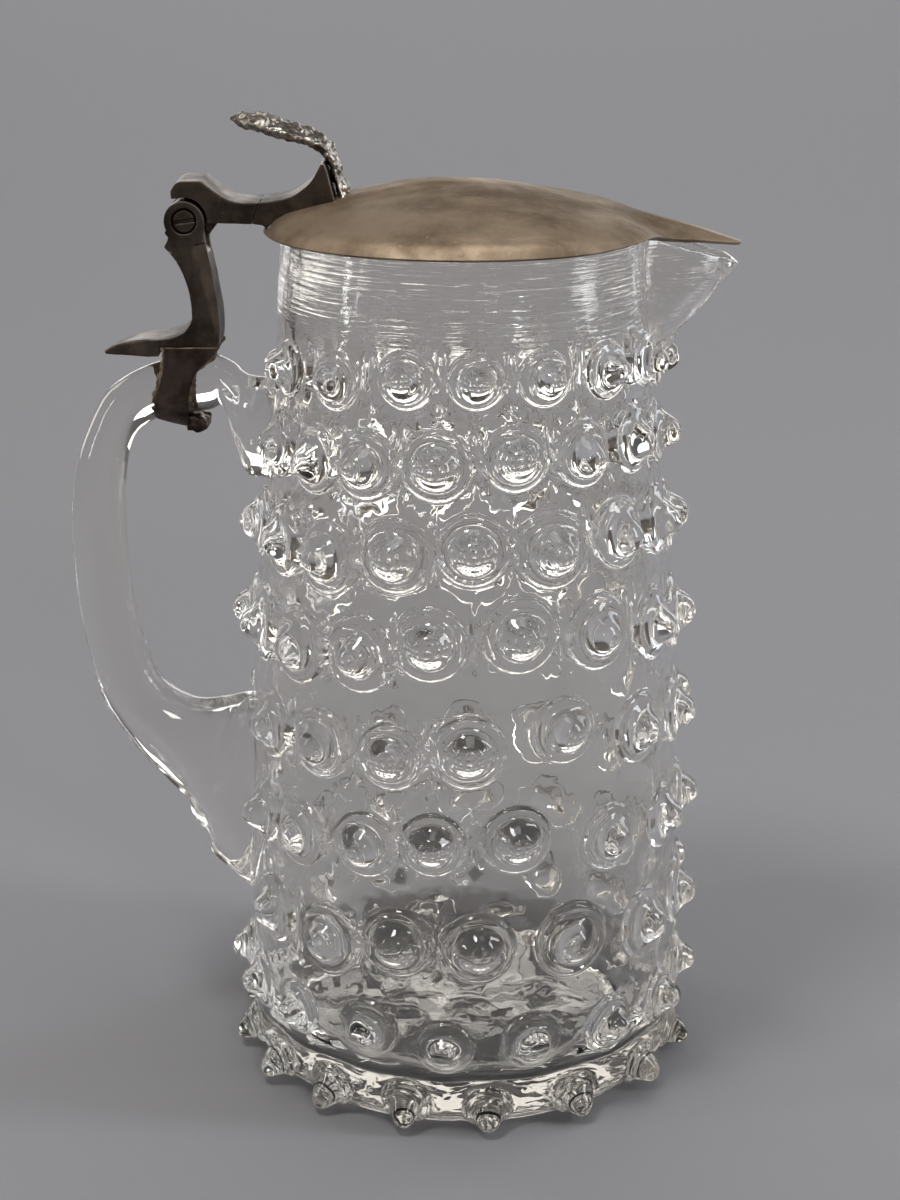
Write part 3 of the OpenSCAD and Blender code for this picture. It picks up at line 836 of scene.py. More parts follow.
def plain_mesh(made, name):
    """The result of an object's modifiers as a new plain object."""
    graph = bpy.context.evaluated_depsgraph_get()
    mesh = bpy.data.meshes.new_from_object(made.evaluated_get(graph))
    mesh.name = name
    result = bpy.data.objects.new(name, mesh)
    bpy.context.collection.objects.link(result)
    return result


def drop(*objects):
    for gone in objects:
        bpy.data.objects.remove(gone)


print("rolling tree helpers ready")

# %% [markdown]
# ## The handle
# A thick rod of glass was stuck on below the neck, bent over, and brought down to the
# wall, where it was pressed on and drawn down in a long tail. Each row of the table is a
# section: an outer point and an inner point of its outline seen from the side, and half
# its width. A smooth curve runs through the rows and an oval is set on each.

# %% The handle's sections
HANDLE = [
    (-45.6, 184, -47.6, 158, 8), (-54.5, 184.6, -55.4, 158.5, 8.2),
    (-58.6, 187.9, -58.4, 166, 7.8), (-63.6, 190.05, -61.4, 176.3, 6.95),
    (-67.1, 189.5, -64.9, 175.8, 6.95), (-73.1, 188.7, -70.9, 175, 6.95),
    (-79.1, 187.8, -76.9, 174, 6.95), (-87.5, 183.8, -83, 171, 7.2),
    (-93.2, 178, -85.8, 166, 7.4), (-99.2, 164.5, -87.4, 157.5, 7.4),
    (-101.7, 151, -87.8, 149, 7.4), (-102, 139, -87.7, 139, 7.4),
    (-101.2, 125, -86.6, 126, 7.4), (-99, 110, -83.8, 112, 7.4),
    (-95.4, 96, -79.8, 102.6, 7.6), (-87, 82.5, -72, 97.4, 8.2),
    (-77.6, 71.6, -64.5, 97.4, 8.6), (-71.4, 60, -58.8, 98.6, 8.8),
    (-66, 49, -55.6, 99, 8.4), (-55.6, 41, -54, 99, 7.6),
]


def catmull_rom(a, b, c, d, steps):
    """A smooth curve from b towards c, with a before it and d after it."""
    return [0.5 * (2 * b + (c - a) * t + (2 * a - 5 * b + 4 * c - d) * t * t
                   + (3 * b - a - 3 * c + d) * t ** 3)
            for t in np.linspace(0, 1, steps, endpoint=False)]


def through(rows, steps):
    """A smooth curve through rows of numbers."""
    rows = np.asarray(rows, float)
    made, last = [], len(rows) - 1
    for i in range(last):
        before, after = rows[max(i - 1, 0)], rows[min(i + 2, last)]
        made += catmull_rom(before, rows[i], rows[i + 1], after, steps)
    return np.array(made + [rows[-1]])


def oval(row, count):
    """A ring of count points on one section of the handle or the leaf."""
    turn = np.linspace(0, 2 * math.pi, count, endpoint=False)
    middle_x, middle_z = (row[0] + row[2]) / 2, (row[1] + row[3]) / 2
    return np.stack([middle_x + np.cos(turn) * (row[0] - row[2]) / 2, np.sin(turn) * row[4],
                     middle_z + np.cos(turn) * (row[1] - row[3]) / 2], axis=1)


# the section where the crimped tail starts, and the sections from one fold to the next
TAIL_FROM, FOLD_STEP = 92, 5.5


def handle_rings():
    """Rings in mm of the handle, from its root at the neck to the end of its tail."""
    rings = [oval(row, 36) for row in through(HANDLE, 6)]
    for k, ring in enumerate(rings):
        # the tail was pressed on with a crimping tool, which left folds across it
        tail = np.clip((k - TAIL_FROM) / 8, 0, 1)
        fold = 0.5 + 0.5 * math.cos((k - TAIL_FROM) * 2 * math.pi / FOLD_STEP)
        middle = ring.mean(axis=0)
        outside = np.clip((middle[0] - ring[:, 0]) / 6, 0, 1)
        ring[:, 0] += tail * fold * outside * 1.6
        ring[:, 1] *= 1 + tail * 0.06 * (fold - 0.5)
    return rings


rings = handle_rings()
handle = turned_out(mesh_object("handle_rod", *capped(rings)))
print("handle:", len(rings), "sections")

# %% [markdown]
# ## Clear glass in one piece
# Light bends at every surface, so a surface hidden inside the glass would show. The rolled
# net, its lining and the handle are therefore joined to one closed skin. Its finish is clear,
# with fine lines round the neck, soft waves, a few dull smears from fingers, and painted shade
# round the outside of the foot.

# %% The finish of the glass
# heights and radii in metres of the band of painted shade round the outside of the foot
SHADED_FOOT_TOP, SHADED_FOOT_WALL = (0.018, 0.014), (0.0545, 0.0556)


def glass_finish():
    """Clear glass that reads where it is on the jug from the object's own coordinates."""
    made, net, shader = new_material("clear_glass")
    place = net.node("ShaderNodeTexCoord").of("Object")
    height = net.node("ShaderNodeSeparateXYZ", {}, {"Vector": place}).of("Z")
    # stretched noise makes the lines that the shaping tool left round the neck
    lying = net.node("ShaderNodeMapping", {}, {"Vector": place, "Scale": (1.0, 1.0, 26.0)})
    lines = net.noise(lying, 38.0, 3.0) * height.step(0.196, 0.206)
    waves = net.noise(place, 160.0, 1.0)
    relief = net.node("ShaderNodeBump", {}, {"Strength": 1.0, "Distance": 0.00011,
                                             "Height": lines * 2.2 + waves * 1.3})
    # painted shade: the outside of the foot is coloured grey, so the light that comes through the
    # thick base looks darker there
    level = net.node("ShaderNodeMapping", {}, {"Vector": place, "Scale": (1.0, 1.0, 0.0)})
    radius = net.node("ShaderNodeVectorMath", {"operation": "LENGTH"}, {0: level}).of("Value")
    foot = height.step(*SHADED_FOOT_TOP) * radius.step(*SHADED_FOOT_WALL)
    painted_shade = net.mix(foot, (0.985, 0.972, 0.95, 1), (0.33, 0.315, 0.29, 1))
    smears = net.noise(place, 31.0, 4.0).step(0.60, 0.72)
    net.feed(shader, Base_Color=painted_shade, Roughness=smears * 0.03, Normal=relief)
    shader.inputs["IOR"].default_value = 1.5
    shader.inputs["Transmission Weight"].default_value = 1.0
    return made


clear_glass = glass_finish()
print("glass finish:", len(clear_glass.node_tree.nodes), "nodes")

# %% The glass is joined
with_inputs(net, rolling_tree(), Lining=lining, Handle=handle, Glass=clear_glass)
glass = plain_mesh(net, "jug_glass")
glass.data.shade_smooth()
glass.data.set_sharp_from_angle(angle=math.radians(50))
drop(net, lining, handle)
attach(glass, "jug")
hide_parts("glass_body", "glass_handle", *["knobs_row_%d" % k for k in range(1, 10)])
glass.data.calc_loop_triangles()
print("glass:", len(glass.data.vertices), "points,", len(glass.data.loop_triangles), "triangles")

# %% [markdown]
# ## Cast metal
# The post, arm and tang were cast and filed, so their outlines are clear but no edge is
# knife sharp. An outline drawn in side view is pushed out to a slab, cut and joined with
# booleans, and then remeshed in cells of a third of a millimetre. The remesh rounds every
# edge by about the size of its cells and closes every seam. Bevels would be crisper, but
# they break where a boolean leaves slivers.

# %% Slabs, rods and booleans
ROD_SIDES = 72


def curve_round(outline, steps=6):
    """A closed smooth curve through points (x, z). A point given twice is a corner."""
    p = np.array(outline, float)
    made, count = [], len(p)
    for i in range(count):
        after, next_one = p[(i + 1) % count], p[(i + 2) % count]
        if not np.allclose(p[i], after):
            made += catmull_rom(p[i - 1], p[i], after, next_one, steps)
    return np.array(made)


def slab(outline, low, high, place=lambda a, b, depth: (a, depth, b)):
    """A prism of an outline in mm from depth low to high; place turns it."""
    count = len(outline)
    points = [np.array(place(a, b, depth)) * MM for depth in (low, high) for a, b in outline]
    faces = [(j, (j + 1) % count, count + (j + 1) % count, count + j) for j in range(count)]
    faces += [tuple(range(count)), tuple(range(count, 2 * count))]
    return turned_out(mesh_object("slab", points, faces))


def from_above(a, b, depth):
    """Lays a slab flat, for an outline drawn in plan."""
    return (a, b, depth)


def rod(x, z, radius, low, high):
    """A round rod along Y."""
    turn = np.linspace(0, 2 * math.pi, ROD_SIDES, endpoint=False)
    circle = np.stack([x + radius * np.cos(turn), z + radius * np.sin(turn)], axis=1)
    return slab(circle, low, high)


def boolean(base, operation, *others):
    """Joins others to base, or cuts them off, and uses all of them up."""
    for other in others:
        step = base.modifiers.new(operation, "BOOLEAN")
        step.operation, step.solver, step.object = operation, "MANIFOLD", other
    made = plain_mesh(base, "worked")
    drop(base, *others)
    return made


def cast(rough, name, cell=0.3, smooth=2):
    """Rounds and closes a worked piece by remeshing it in cells of a size in mm."""
    remesh = rough.modifiers.new("cells", "REMESH")
    remesh.mode, remesh.voxel_size, remesh.use_smooth_shade = "VOXEL", cell * MM, True
    worn = rough.modifiers.new("worn", "SMOOTH")
    worn.factor, worn.iterations = 0.5, smooth
    made = plain_mesh(rough, name)
    drop(rough)
    made.data.shade_smooth()
    return made


def reshape(made, change):
    """Moves every point by change(points, normals), all in mm."""
    mesh = made.data
    points = np.empty(len(mesh.vertices) * 3, np.float32)
    normals = np.empty(len(mesh.vertices) * 3, np.float32)
    mesh.vertices.foreach_get("co", points)
    mesh.vertices.foreach_get("normal", normals)
    points = points.reshape(-1, 3) / MM
    points = change(points, normals.reshape(-1, 3)) * MM
    mesh.vertices.foreach_set("co", points.astype(np.float32).ravel())
    mesh.update()
    return made


def lumps(points, size, height, layer=0):
    """Soft noise of a size and height in mm, read at points."""
    return height * np.array([noise.noise(Vector(p / size + 17.0 * layer)) for p in points])


def hammered(size, height, layer=0):
    """A change for reshape: soft lumps of a size and height in mm."""
    return lambda points, normals: points + normals * lumps(points, size, height, layer)[:, None]


print("casting helpers ready")

# %% [markdown]
# ## Dull metal
# All the metal is the same tin alloy, in different states of wear. One function mixes it:
# big soft clouds between a dark and a light colour, fine pits that are lighter and stand in
# relief, and a third colour where the edges are rubbed.

# %% Metal finishes
def metal(name, dark, light, patch=60.0, grain=900.0, rough=(0.34, 0.62), bump=0.25, edge=None,
          metallic=1.0):
    """A dull tin alloy. patch and grain count clouds and pits in a metre."""
    made, net, shader = new_material(name)
    place = net.node("ShaderNodeTexCoord").of("Object")
    clouds = net.noise(place, patch, 6.0, Roughness=0.62)
    pits = net.noise(place, grain, 4.0, Roughness=0.7)
    colour = net.mix(clouds.step(0.34, 0.68), dark, light)
    colour = net.mix(pits.step(0.62, 0.74) * 0.5, colour,
                     tuple(min(1.0, c * 1.5) for c in light))
    roughness = rough[0] + (rough[1] - rough[0]) * clouds.step(0.7, 0.3)
    if edge:
        worn = net.node("ShaderNodeNewGeometry").of("Pointiness").step(0.53, 0.60)
        worn = worn * clouds.step(0.40, 0.62)
        colour = net.mix(worn, colour, edge)
        roughness = roughness - worn * 0.12
    relief = net.node("ShaderNodeBump", {}, {"Strength": bump, "Distance": 0.0004,
                                             "Height": pits * 0.6 + clouds})
    net.feed(shader, Base_Color=colour, Roughness=roughness, Normal=relief)
    shader.inputs["Metallic"].default_value = metallic
    return made


lid_metal = metal("lid_metal", (0.19, 0.14, 0.095, 1), (0.47, 0.37, 0.27, 1), patch=42.0,
                  grain=620.0, rough=(0.52, 0.68), bump=0.6, edge=(0.42, 0.33, 0.22, 1))
dark_metal = metal("hinge_metal", (0.040, 0.030, 0.025, 1), (0.15, 0.12, 0.10, 1), patch=90.0,
                   rough=(0.36, 0.58), edge=(0.40, 0.34, 0.28, 1))
strap_metal = metal("strap_metal", (0.045, 0.032, 0.026, 1), (0.15, 0.115, 0.095, 1), patch=110.0,
                    rough=(0.32, 0.55), edge=(0.38, 0.26, 0.15, 1))
bright_metal = metal("relief_metal", (0.14, 0.12, 0.098, 1), (0.60, 0.56, 0.50, 1), patch=170.0,
                     rough=(0.26, 0.46), bump=0.35, edge=(0.86, 0.83, 0.77, 1))
solder_metal = metal("solder", (0.12, 0.10, 0.08, 1), (0.42, 0.38, 0.33, 1), patch=240.0,
                     rough=(0.3, 0.5), edge=(0.6, 0.56, 0.5, 1))
print("five metals mixed")


def finish_piece(made, body, slot, finish, *nodes):
    """Gives a finished piece its material and its body, and hides the nodes it stands for. slot is
    not used.
    """
    made.data.materials.clear()
    made.data.materials.append(finish)
    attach(made, body)
    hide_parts(*nodes)
    print(made.name, len(made.data.polygons), "faces")


# %% [markdown]
# ## The lid
# The lid was raised from one sheet: a low dome whose edge runs out into a beak over the
# lip. It is written as a height over a polar grid, so the beak, the swelling under the
# tang and the sheet's thickness are all one formula, and the underside follows the top.

# %% The lid's sheet
LID_Z, LID_R, LID_RISE, LID_SHEET, BEAK_X = 221.3, 50.2, 12.6, 1.2, 69.3
DOME = [(0, 1), (0.16, 0.968), (0.32, 0.881), (0.5, 0.746), (0.66, 0.611), (0.8, 0.468),
        (0.9, 0.341), (0.966, 0.206), (1, 0.05)]
SHOULDER, RIDGE_FROM, RIDGE_TO = 0.8, 0.468, -0.13
BEAK_HALF = math.radians(14.2)
BEAK_ROOT = (LID_R * math.cos(BEAK_HALF), LID_R * math.sin(BEAK_HALF))
BEAK_SLOPE = (BEAK_ROOT[1] - 2.3) / (BEAK_X - BEAK_ROOT[0])
# how far from the beak's middle its edge, its ridge and the eased rim reach
EDGE_SPAN, RIDGE_SPAN, EASED_SPAN = math.radians(40), math.radians(28), math.radians(44)
EASED_TO = 0.15
dome_r, dome_h = np.array(DOME).T


def lid_edge(a):
    """Radius of the lid's rim, which runs out to the beak round the angle 0."""
    x = (BEAK_ROOT[1] + BEAK_SLOPE * BEAK_ROOT[0]) / (np.tan(np.abs(a)) + BEAK_SLOPE)
    beak = np.minimum(x, BEAK_X) / np.cos(a)
    # the corner where the beak starts is beaten smooth
    smooth = soft_max(np.full_like(a, LID_R), beak, 5.0)
    return np.where(np.abs(a) < EDGE_SPAN, smooth, LID_R)


def lid_ring(part, layer):
    """A ring of the lid at a part of its radius: layer 0 is the top and 1 the underside."""
    a = lid_angles
    off_ridge = np.abs(a) / RIDGE_SPAN
    on_ridge = np.clip(1 - off_ridge, 0, 1) ** 2 * (1 + 2 * off_ridge)
    start = SHOULDER * LID_R
    out = max(0.0, (part - SHOULDER) / (1 - SHOULDER))
    h = float(hermite(np.array(part), dome_r, dome_h)) if part < 1 else dome_h[-1]
    if out > 0:
        r = start + out * (lid_edge(a) - layer * LID_SHEET - start)
        # the rim is turned down all round, but less and less towards the beak
        eased = RIDGE_FROM + (EASED_TO - RIDGE_FROM) * out
        near_beak = np.exp(-(a / EASED_SPAN) ** 4) * min(1.0, out * 4)
        h = h * (1 - near_beak) + eased * near_beak
        h = h * (1 - on_ridge) + (RIDGE_FROM + (RIDGE_TO - RIDGE_FROM) * out) * on_ridge
    else:
        r, h = part * LID_R + 0 * a, h + 0 * a
    x, y = r * np.cos(a), r * np.sin(a)
    z = LID_Z + LID_RISE * h - layer * LID_SHEET * (0.4 if part == 1 else 1)
    # the tang's pull has raised a plateau with a soft crease on each side of it
    pulled = np.clip((6 - x) / 44, 0, 1)
    crest = np.exp(-(y / (3.5 + 10.5 * pulled)) ** 6) * np.clip(pulled * 2.2, 0, 1)
    z = z + crest * 1.0 * np.clip((LID_R - np.hypot(x, y)) / 5, 0, 1)
    z = z + ripple(x, y, z, 21.0, 0.22, 5) * np.clip((1 - part) * 5, 0, 1)
    # the beak's tip droops
    z = z - 0.9 * np.clip((x - 58) / 11, 0, 1)
    return np.stack([x, y, z], axis=1)


lid_angles = np.concatenate([np.radians(np.linspace(-22, 22, 57)),
                             np.radians(np.linspace(22, 338, 128)[1:-1])])
lid_angles = round_gap(lid_angles, 0.0)
parts_out = np.concatenate([np.linspace(0.02, 0.8, 36), np.linspace(0.8, 1, 18)[1:]])
lid_rings = [lid_ring(p, 0) for p in parts_out]
top_edge, low_edge = lid_ring(1.0, 0), lid_ring(1.0, 1)
low_edge[:, 2] = np.minimum(low_edge[:, 2], top_edge[:, 2] - 0.75)
for k in range(1, 5):
    turn = math.pi * k / 5
    ring = (top_edge + low_edge) / 2 + (top_edge - low_edge) / 2 * math.cos(turn)
    spread = 0.3 * math.sin(turn)
    ring[:, 0] += spread * np.cos(lid_angles)
    ring[:, 1] += spread * np.sin(lid_angles)
    lid_rings.append(ring)
lid_rings += [lid_ring(p, 1) for p in parts_out[::-1][1:]]
points, faces = skin([ring * MM for ring in lid_rings],
                     start=(0, 0, lid_rings[0][:, 2].mean() * MM),
                     end=(0, 0, lid_rings[-1][:, 2].mean() * MM))
lid = turned_out(mesh_object("lid", points, faces))
finish_piece(lid, "lid", "lid_metal", lid_metal, "lid_plate")

# %% [markdown]
# ## Arm, tang and post
# The side outlines are the ones of the engineering model, with smooth curves between their
# corners. The arm is two castings joined on a slanted seam, and the post has a slot for
# the arm's tongue, two knuckles, and a spur that lies over the handle like a leaf's point.

# %% The hinge's measures
PIN_X, PIN_Z, PIN_R = -69.3, 224.8, 1.8
HALF_W, TONGUE, SIDE_GAP, KNUCKLE_R = 8.5, 2.9, 0.3, 5.0
# the handle's straight stretch under the clamp: a middle, a radius and a slope
GRIP_X, GRIP_Z, GRIP_R, GRIP_SLOPE = -72.0, 181.85, 7.65, math.radians(9)
ARM = [(-72.3, 230.3), (-72.3, 230.3), (-72.4, 232.3), (-72.4, 232.3), (-71.2, 234), (-71.2, 234),
       (-69.8, 234.7), (-69.8, 234.7), (-64.8, 234.7), (-64.8, 234.7), (-62.7, 233.1),
       (-59.8, 230.9), (-57.3, 229.8), (-54, 229.3), (-50.2, 229.4), (-46, 230), (-42.5, 231),
       (-40.1, 232.4), (-38, 234.3), (-36.5, 236.6), (-35.4, 238.8), (-35.4, 238.8), (-34.5, 239),
       (-34.5, 239), (-33.8, 237), (-32.6, 232), (-31, 226), (-31, 221), (-31, 221), (-49.2, 221),
       (-49.2, 221), (-49.4, 223.4), (-51.4, 224), (-55.6, 224.2), (-61, 224.3), (-66, 224.3),
       (-66, 224.3), (-68, 230.3), (-68, 230.3)]
SEAM = [(-50.6, 245), (-50.6, 229.4), (-52.6, 223.9), (-52.6, 210)]


def arm_half(left):
    """The part of the arm on one side of the slanted seam."""
    side = SEAM + ([(-90, 210), (-90, 245)] if left else [(0, 210), (0, 245)])
    return boolean(slab(curve_round(ARM), -HALF_W, HALF_W), "INTERSECT", slab(side, -20, 20))


arm = boolean(arm_half(True), "DIFFERENCE",
              rod(PIN_X, PIN_Z, KNUCKLE_R + 0.8, TONGUE, HALF_W + 1),
              rod(PIN_X, PIN_Z, KNUCKLE_R + 0.8, -HALF_W - 1, -TONGUE),
              rod(PIN_X, PIN_Z, KNUCKLE_R + 0.5, -TONGUE - 0.1, TONGUE + 0.1))
arm = boolean(arm, "UNION", rod(PIN_X, PIN_Z, KNUCKLE_R - 0.2, -TONGUE, TONGUE),
              slab([(-69.3, 229.5), (-63.8, 220.6), (-61, 224.3), (-63, 232), (-70.4, 232.2)],
                   -TONGUE, TONGUE))
arm = boolean(arm, "DIFFERENCE", rod(PIN_X, PIN_Z, PIN_R + 0.05, -TONGUE - 1, TONGUE + 1))
arm = reshape(cast(arm, "hinge_arm_cast", 0.28), hammered(6.0, 0.10))
finish_piece(arm, "lid", "hinge_metal", dark_metal, "hinge_arm")


# %% The tang stands on the lid
def dome_turned(rise):
    """The lid's dome as a solid, rise mm higher, to cut off what stands on it."""
    turn = np.linspace(0, 2 * math.pi, 96, endpoint=False)
    rings = [np.stack([r * LID_R * np.cos(turn), r * LID_R * np.sin(turn),
                       0 * turn + LID_Z + h * LID_RISE + rise], axis=1) * MM
             for r, h in DOME[1:]]
    rings.append(rings[-1] - np.array((0, 0, 6 * MM)))
    points, faces = skin(rings, start=(0, 0, (LID_Z + LID_RISE + rise) * MM),
                         end=(0, 0, (LID_Z - 6) * MM))
    return turned_out(mesh_object("dome", points, faces))


tang = boolean(arm_half(False), "DIFFERENCE", dome_turned(-0.1))
tang = reshape(cast(tang, "tang", 0.28), hammered(5.0, 0.12, 1))
finish_piece(tang, "lid", "hinge_metal", dark_metal, "arm_tang")

# %% The post
POST = [(-64.4, 224.8), (-64.4, 224.8), (-64.4, 219), (-63.3, 213), (-62.3, 207), (-61.6, 201.5),
        (-61.4, 197), (-61.7, 193.4), (-61.7, 193.4), (-76.5, 193.4), (-76.5, 193.4),
        (-76.8, 190.8), (-76.8, 190.8), (-81, 190.6), (-91.2, 190.3), (-91.2, 190.3), (-91.6, 191),
        (-91.6, 191), (-88.4, 192.8), (-84, 194.2), (-80.2, 194.9), (-76.4, 195.1), (-73, 195.8),
        (-70.2, 197.2), (-68.4, 199.8), (-68.1, 203), (-68.6, 207), (-69.7, 211), (-71.3, 214.4),
        (-73.2, 217.2), (-74.4, 218.4), (-74.4, 218.4), (-73.3, 220.7), (-73.6, 222.6)]
POST_PLAN = [(-60, -8.5), (-74, -8.5), (-80, -6.6), (-86, -4), (-91.2, -1.6), (-91.8, 0),
             (-91.2, 1.6), (-86, 4), (-80, 6.6), (-74, 8.5), (-60, 8.5)]
post = boolean(slab(curve_round(POST), -HALF_W, HALF_W), "INTERSECT",
               slab(POST_PLAN, 180, 240, from_above))
saddle = slab([(-75.4, 193.6), (-62.2, 193.6), (-63.4, 191.2), (-67.2, 187.6), (-76.4, 186)],
              -GRIP_R, GRIP_R)
post = boolean(post, "UNION", rod(PIN_X, PIN_Z, KNUCKLE_R, TONGUE + SIDE_GAP, HALF_W),
               rod(PIN_X, PIN_Z, KNUCKLE_R, -HALF_W, -TONGUE - SIDE_GAP), saddle)
SLOT_HALF = TONGUE + SIDE_GAP
SLOT_LINE = [(-80, 218), (-69.3, 224.8), (-64.2, 216.4), (-60, 220), (-60, 240), (-80, 240)]


def along_grip(radius, reach):
    """A rod along the handle's straight stretch under the clamp."""
    turn = np.linspace(0, 2 * math.pi, ROD_SIDES, endpoint=False)
    middle = np.array((GRIP_X, 0.0, GRIP_Z))
    run = np.array((math.cos(GRIP_SLOPE), 0, math.sin(GRIP_SLOPE)))
    side, up = np.array((0.0, 1.0, 0.0)), np.array((-run[2], 0, run[0]))
    ends = [[(middle + run * s + radius * (math.cos(a) * side + math.sin(a) * up)) * MM
             for a in turn] for s in (-reach, reach)]
    points, faces = skin(ends, start=(middle - run * reach) * MM, end=(middle + run * reach) * MM)
    return turned_out(mesh_object("grip_rod", points, faces))


post = boolean(post, "DIFFERENCE", rod(PIN_X, PIN_Z, KNUCKLE_R + 0.3, -SLOT_HALF, SLOT_HALF),
               slab(SLOT_LINE, -SLOT_HALF, SLOT_HALF),
               rod(PIN_X, PIN_Z, 3.2, -HALF_W - 1, -HALF_W + 1.3),
               rod(PIN_X, PIN_Z, PIN_R - 0.05, -HALF_W - 1, HALF_W + 1),
               along_grip(GRIP_R, 16))


def front_chamfer(points, normals):
    """The post's front corners are filed off, more so near the pin."""
    x, y, z = points.T.copy()
    front = np.interp(z, [193, 201.5, 213, 219], [-61.5, -61.6, -63.3, -64.4])
    size = np.interp(z, [193, 200, 217, 219, 220], [0.6, 1.4, 3.4, 3.0, 0.0])
    limit = HALF_W - np.clip(x - (front - size), 0, None) * 0.9
    points[:, 1] = np.sign(y) * np.minimum(np.abs(y), np.maximum(limit, 3.4))
    return points


post = reshape(cast(post, "hinge_post_cast", 0.28), front_chamfer)
post = reshape(post, hammered(6.0, 0.12, 2))
finish_piece(post, "jug", "hinge_metal", dark_metal, "hinge_post")

# %% [markdown]
# ## The pin
# A round shank goes through both knuckles. Its head sits in a round seat in the near one,
# with a screwdriver's slot that has stopped a little off level.

# %% The pin and its slot
HEAD_R, SLOT_TURN = 2.65, 0.14
pin = boolean(rod(PIN_X, PIN_Z, PIN_R, -8.1, 8.8), "UNION",
              rod(PIN_X, PIN_Z, HEAD_R, -8.4, -7.2))
slot_box = [(PIN_X + a * math.cos(SLOT_TURN) - b * math.sin(SLOT_TURN),
             PIN_Z + a * math.sin(SLOT_TURN) + b * math.cos(SLOT_TURN))
            for a, b in ((-4, -0.45), (4, -0.45), (4, 0.45), (-4, 0.45))]
pin = boolean(pin, "DIFFERENCE", slab(slot_box, -9, -7.8))
pin = cast(pin, "hinge_pin_cast", 0.2, 1)
finish_piece(pin, "jug", "hinge_metal", dark_metal, "hinge_pin")

# %% [markdown]
# ## The clamp
# Two straps hang from the post, one on each side of the handle, and meet below it. Each is
# a bent sheet: a straight drop beside the post and a round bottom. The sheet is drawn as a
# grid of places along the bend and across it, and Solidify gives it its thickness.

# %% Straps
STRAP_LEFT = [(171.0, -78.1), (174.2, -78.3), (177, -78.5), (181.3, -77.7), (186.5, -76.2),
              (190.3, -75.4), (193.4, -75.2)]
STRAP_RIGHT = [(171.0, -69.8), (177, -69.9), (181, -69.5), (184.6, -68.6), (187.2, -67.2),
               (189.8, -64.4), (191.6, -62.6), (193.4, -62.0)]


STRAP_TOP, STRAP_HALF, STRAP_LOW = 193.4, 8.2, (173.9, 171.6)


def edge_at(z, edge):
    """x of a side edge of the strap at height z."""
    return np.interp(z, [p[0] for p in edge], [p[1] for p in edge])


def bent_sheet(name, side, half, low, wide=0.0, torn=0.0, thick=1.1, past=0.0):
    """A sheet from the post round under the handle. side is -1 near and 1 far; half is how
    far it stands off the middle; low has the heights of its bottom at left and right."""
    bends = np.concatenate([np.linspace(0, 1, 24, endpoint=False),
                            1 + np.linspace(0, 1 + past, 26)])
    across = np.linspace(0, 1, 22)
    points = []
    for k, v in enumerate(bends):
        for u in across:
            x = -76.0 + 10 * u
            # where the sheet is wide depends on its height, which depends on x in turn
            for _ in range(3):
                centre = GRIP_Z + (x - GRIP_X) * math.tan(GRIP_SLOPE)
                bottom = low[0] + (low[1] - low[0]) * (x + 78.5) / 8.9
                if v < 1:
                    y, z = half, STRAP_TOP + (centre - STRAP_TOP) * v
                else:
                    turn = (v - 1) * math.pi / 2
                    y, z = half * math.cos(turn), centre - (centre - bottom) * math.sin(turn)
                left, right = edge_at(z, STRAP_LEFT) - wide, edge_at(z, STRAP_RIGHT) + wide
                if torn:
                    left -= torn * noise.noise(Vector((v * 9, 3.1, side)))
                    right += torn * noise.noise(Vector((v * 9, 7.7, side)))
                x = left + (right - left) * u
            points.append((x * MM, side * y * MM, z * MM))
    n = len(across)
    faces = [(k * n + j, k * n + j + 1, (k + 1) * n + j + 1, (k + 1) * n + j)
             for k in range(len(bends) - 1) for j in range(n - 1)]
    sheet = mesh_object(name, points, faces)
    thicken = sheet.modifiers.new("thick", "SOLIDIFY")
    thicken.thickness, thicken.offset = thick * MM, 0
    made = plain_mesh(sheet, name)
    drop(sheet)
    return turned_out(made)


near = cast(bent_sheet("strap", -1, STRAP_HALF, STRAP_LOW), "strap_near_cast", 0.26)
near = reshape(near, hammered(5.0, 0.16, 3))
finish_piece(near, "jug", "strap_metal", strap_metal, "strap_near")
lug = slab([(-70.6, 174.6), (-67.8, 174.9), (-66.6, 174.0), (-65.4, 173.4), (-65.3, 172.2),
            (-66.2, 170.9), (-68.0, 170.6), (-70.6, 171.0)], -4.4, 5)
far = boolean(bent_sheet("strap", 1, STRAP_HALF, STRAP_LOW), "UNION", lug)
far = reshape(cast(far, "strap_far_cast", 0.26, 3), hammered(1.5, 0.55, 4))
finish_piece(far, "jug", "strap_metal", strap_metal, "strap_far")

# %% [markdown]
# ## Packing under the clamp
# The same bent sheet, thinner and torn along its edges, lies between the glass and the
# straps. Only its ragged edge shows. It isn't metal, but the same clouds and pits suit it.

# %% Ragged packing
packing_stuff = metal("packing", (0.10, 0.07, 0.045, 1), (0.36, 0.28, 0.2, 1), patch=420.0,
                      rough=(0.8, 0.95), bump=0.8, metallic=0.0)
near_layer, far_layer = [
    bent_sheet("packing", side, 7.35, (174.9, 175.4), wide=0.8, torn=1.2, thick=0.5, past=0.04)
    for side in (-1, 1)]
packing = cast(boolean(near_layer, "UNION", far_layer), "packing_torn", 0.24, 1)
finish_piece(packing, "jug", "packing", packing_stuff, "clamp_packing")

# %% [markdown]
# ## The thumbpiece
# A cast leaf rises from the tang and curls back. Its sections follow the same kind of
# table as the handle. The relief is a plain leaf made for this part: a midrib, side veins
# and a lobed edge, all from one formula in leaf coordinates.

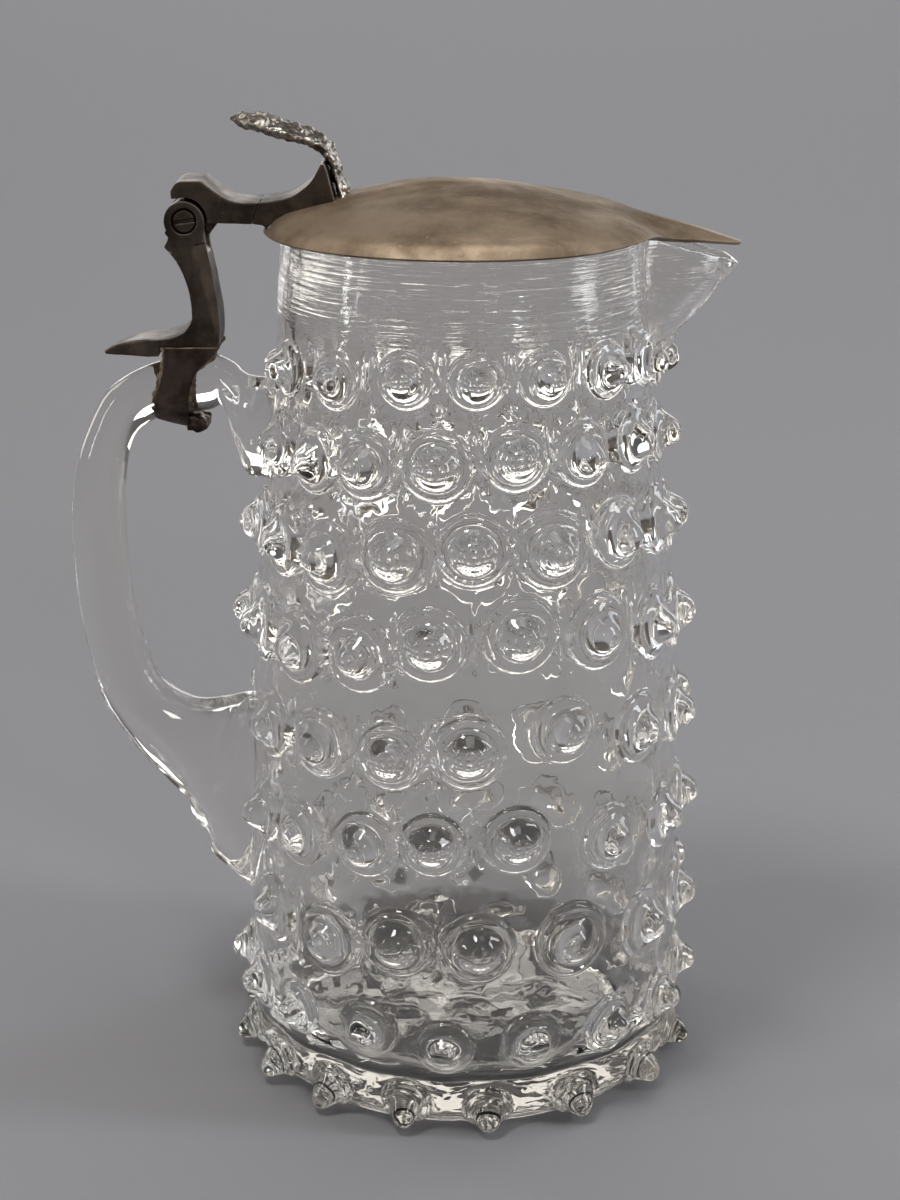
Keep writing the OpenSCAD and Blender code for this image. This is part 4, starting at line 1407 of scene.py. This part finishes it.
# %% The leaf
LEAF = [(-27.6, 227.2, -30.6, 228.9, 6.5), (-28.9, 231, -32, 231.9, 6),
        (-30.2, 235.4, -33.3, 235.9, 5.2), (-31.2, 240, -34.2, 239.2, 5),
        (-33.6, 243.6, -35.6, 241, 6), (-37.4, 245.9, -38.6, 242.6, 8),
        (-42, 247.7, -42.6, 243.9, 9.4), (-47, 249.1, -47.8, 245.2, 9.6),
        (-51.6, 250.4, -52, 246.4, 7.6), (-55.2, 250.3, -55.4, 247.2, 4.6),
        (-57.8, 249.1, -57.4, 248.3, 1.6)]


LEAF_POINTS = 64


def leaf_rings():
    """Rings in mm of the leaf, from its root on the tang to its tip."""
    rows = through(LEAF, 12)
    turn = np.linspace(0, 2 * math.pi, LEAF_POINTS, endpoint=False)
    outer, side = np.cos(turn), np.sin(turn)
    rings = []
    for k, row in enumerate(rows):
        s = k / (len(rows) - 1)
        ring = oval(row, LEAF_POINTS)
        lobes = np.abs(np.sin(s * 21 + 0.6)) ** 0.7
        spread = np.clip((s - 0.25) * 4, 0, 1)
        ring[:, 1] *= 1 - spread * 0.12 * (1 - lobes)
        veins = np.cos((s * 15 - np.abs(side) * 1.6) * 2 * math.pi / 1.25)
        rib = np.exp(-(side / 0.16) ** 2)
        relief = 0.34 * veins * np.abs(side) * (1 - np.abs(side) ** 6) + 0.55 * rib - 0.25
        normal = np.array((row[0] - row[2], 0, row[1] - row[3]))
        normal = normal / np.linalg.norm(normal)
        lift = np.clip(outer * 2.5, 0, 1) * relief * np.clip((1 - s) * 8, 0, 1)
        ring += lift[:, None] * normal
        rings.append(ring)
    return rings


leaf = turned_out(mesh_object("leaf", *capped(leaf_rings())))
leaf = boolean(leaf, "DIFFERENCE", dome_turned(-0.1))
leaf = cast(leaf, "thumbpiece_leaf", 0.22, 1)
leaf = reshape(leaf, hammered(3.0, 0.95, 6))
leaf = reshape(leaf, hammered(1.2, 0.36, 7))
finish_piece(leaf, "lid", "relief_metal", bright_metal, "thumbpiece")

# %% [markdown]
# ## Solder
# The tang was soldered on. A run of solder lies along each side of its foot, cut to a thin
# layer between two copies of the dome.

# %% Solder along the tang
RUN = [(-48.4, 221), (-31.6, 226), (-31.4, 229.8), (-36.6, 228.4), (-41.4, 227.3), (-46, 225.6),
       (-48.4, 223.6)]
runs = boolean(slab(RUN, -HALF_W - 1.3, -HALF_W + 0.1), "UNION",
               slab(RUN, HALF_W - 0.1, HALF_W + 1.3))
runs = boolean(boolean(runs, "INTERSECT", dome_turned(0.7)), "DIFFERENCE", dome_turned(-0.05))
runs = reshape(cast(runs, "solder_run", 0.2, 2), hammered(1.4, 0.3, 8))
finish_piece(runs, "lid", "solder", solder_metal, "tang_solder")
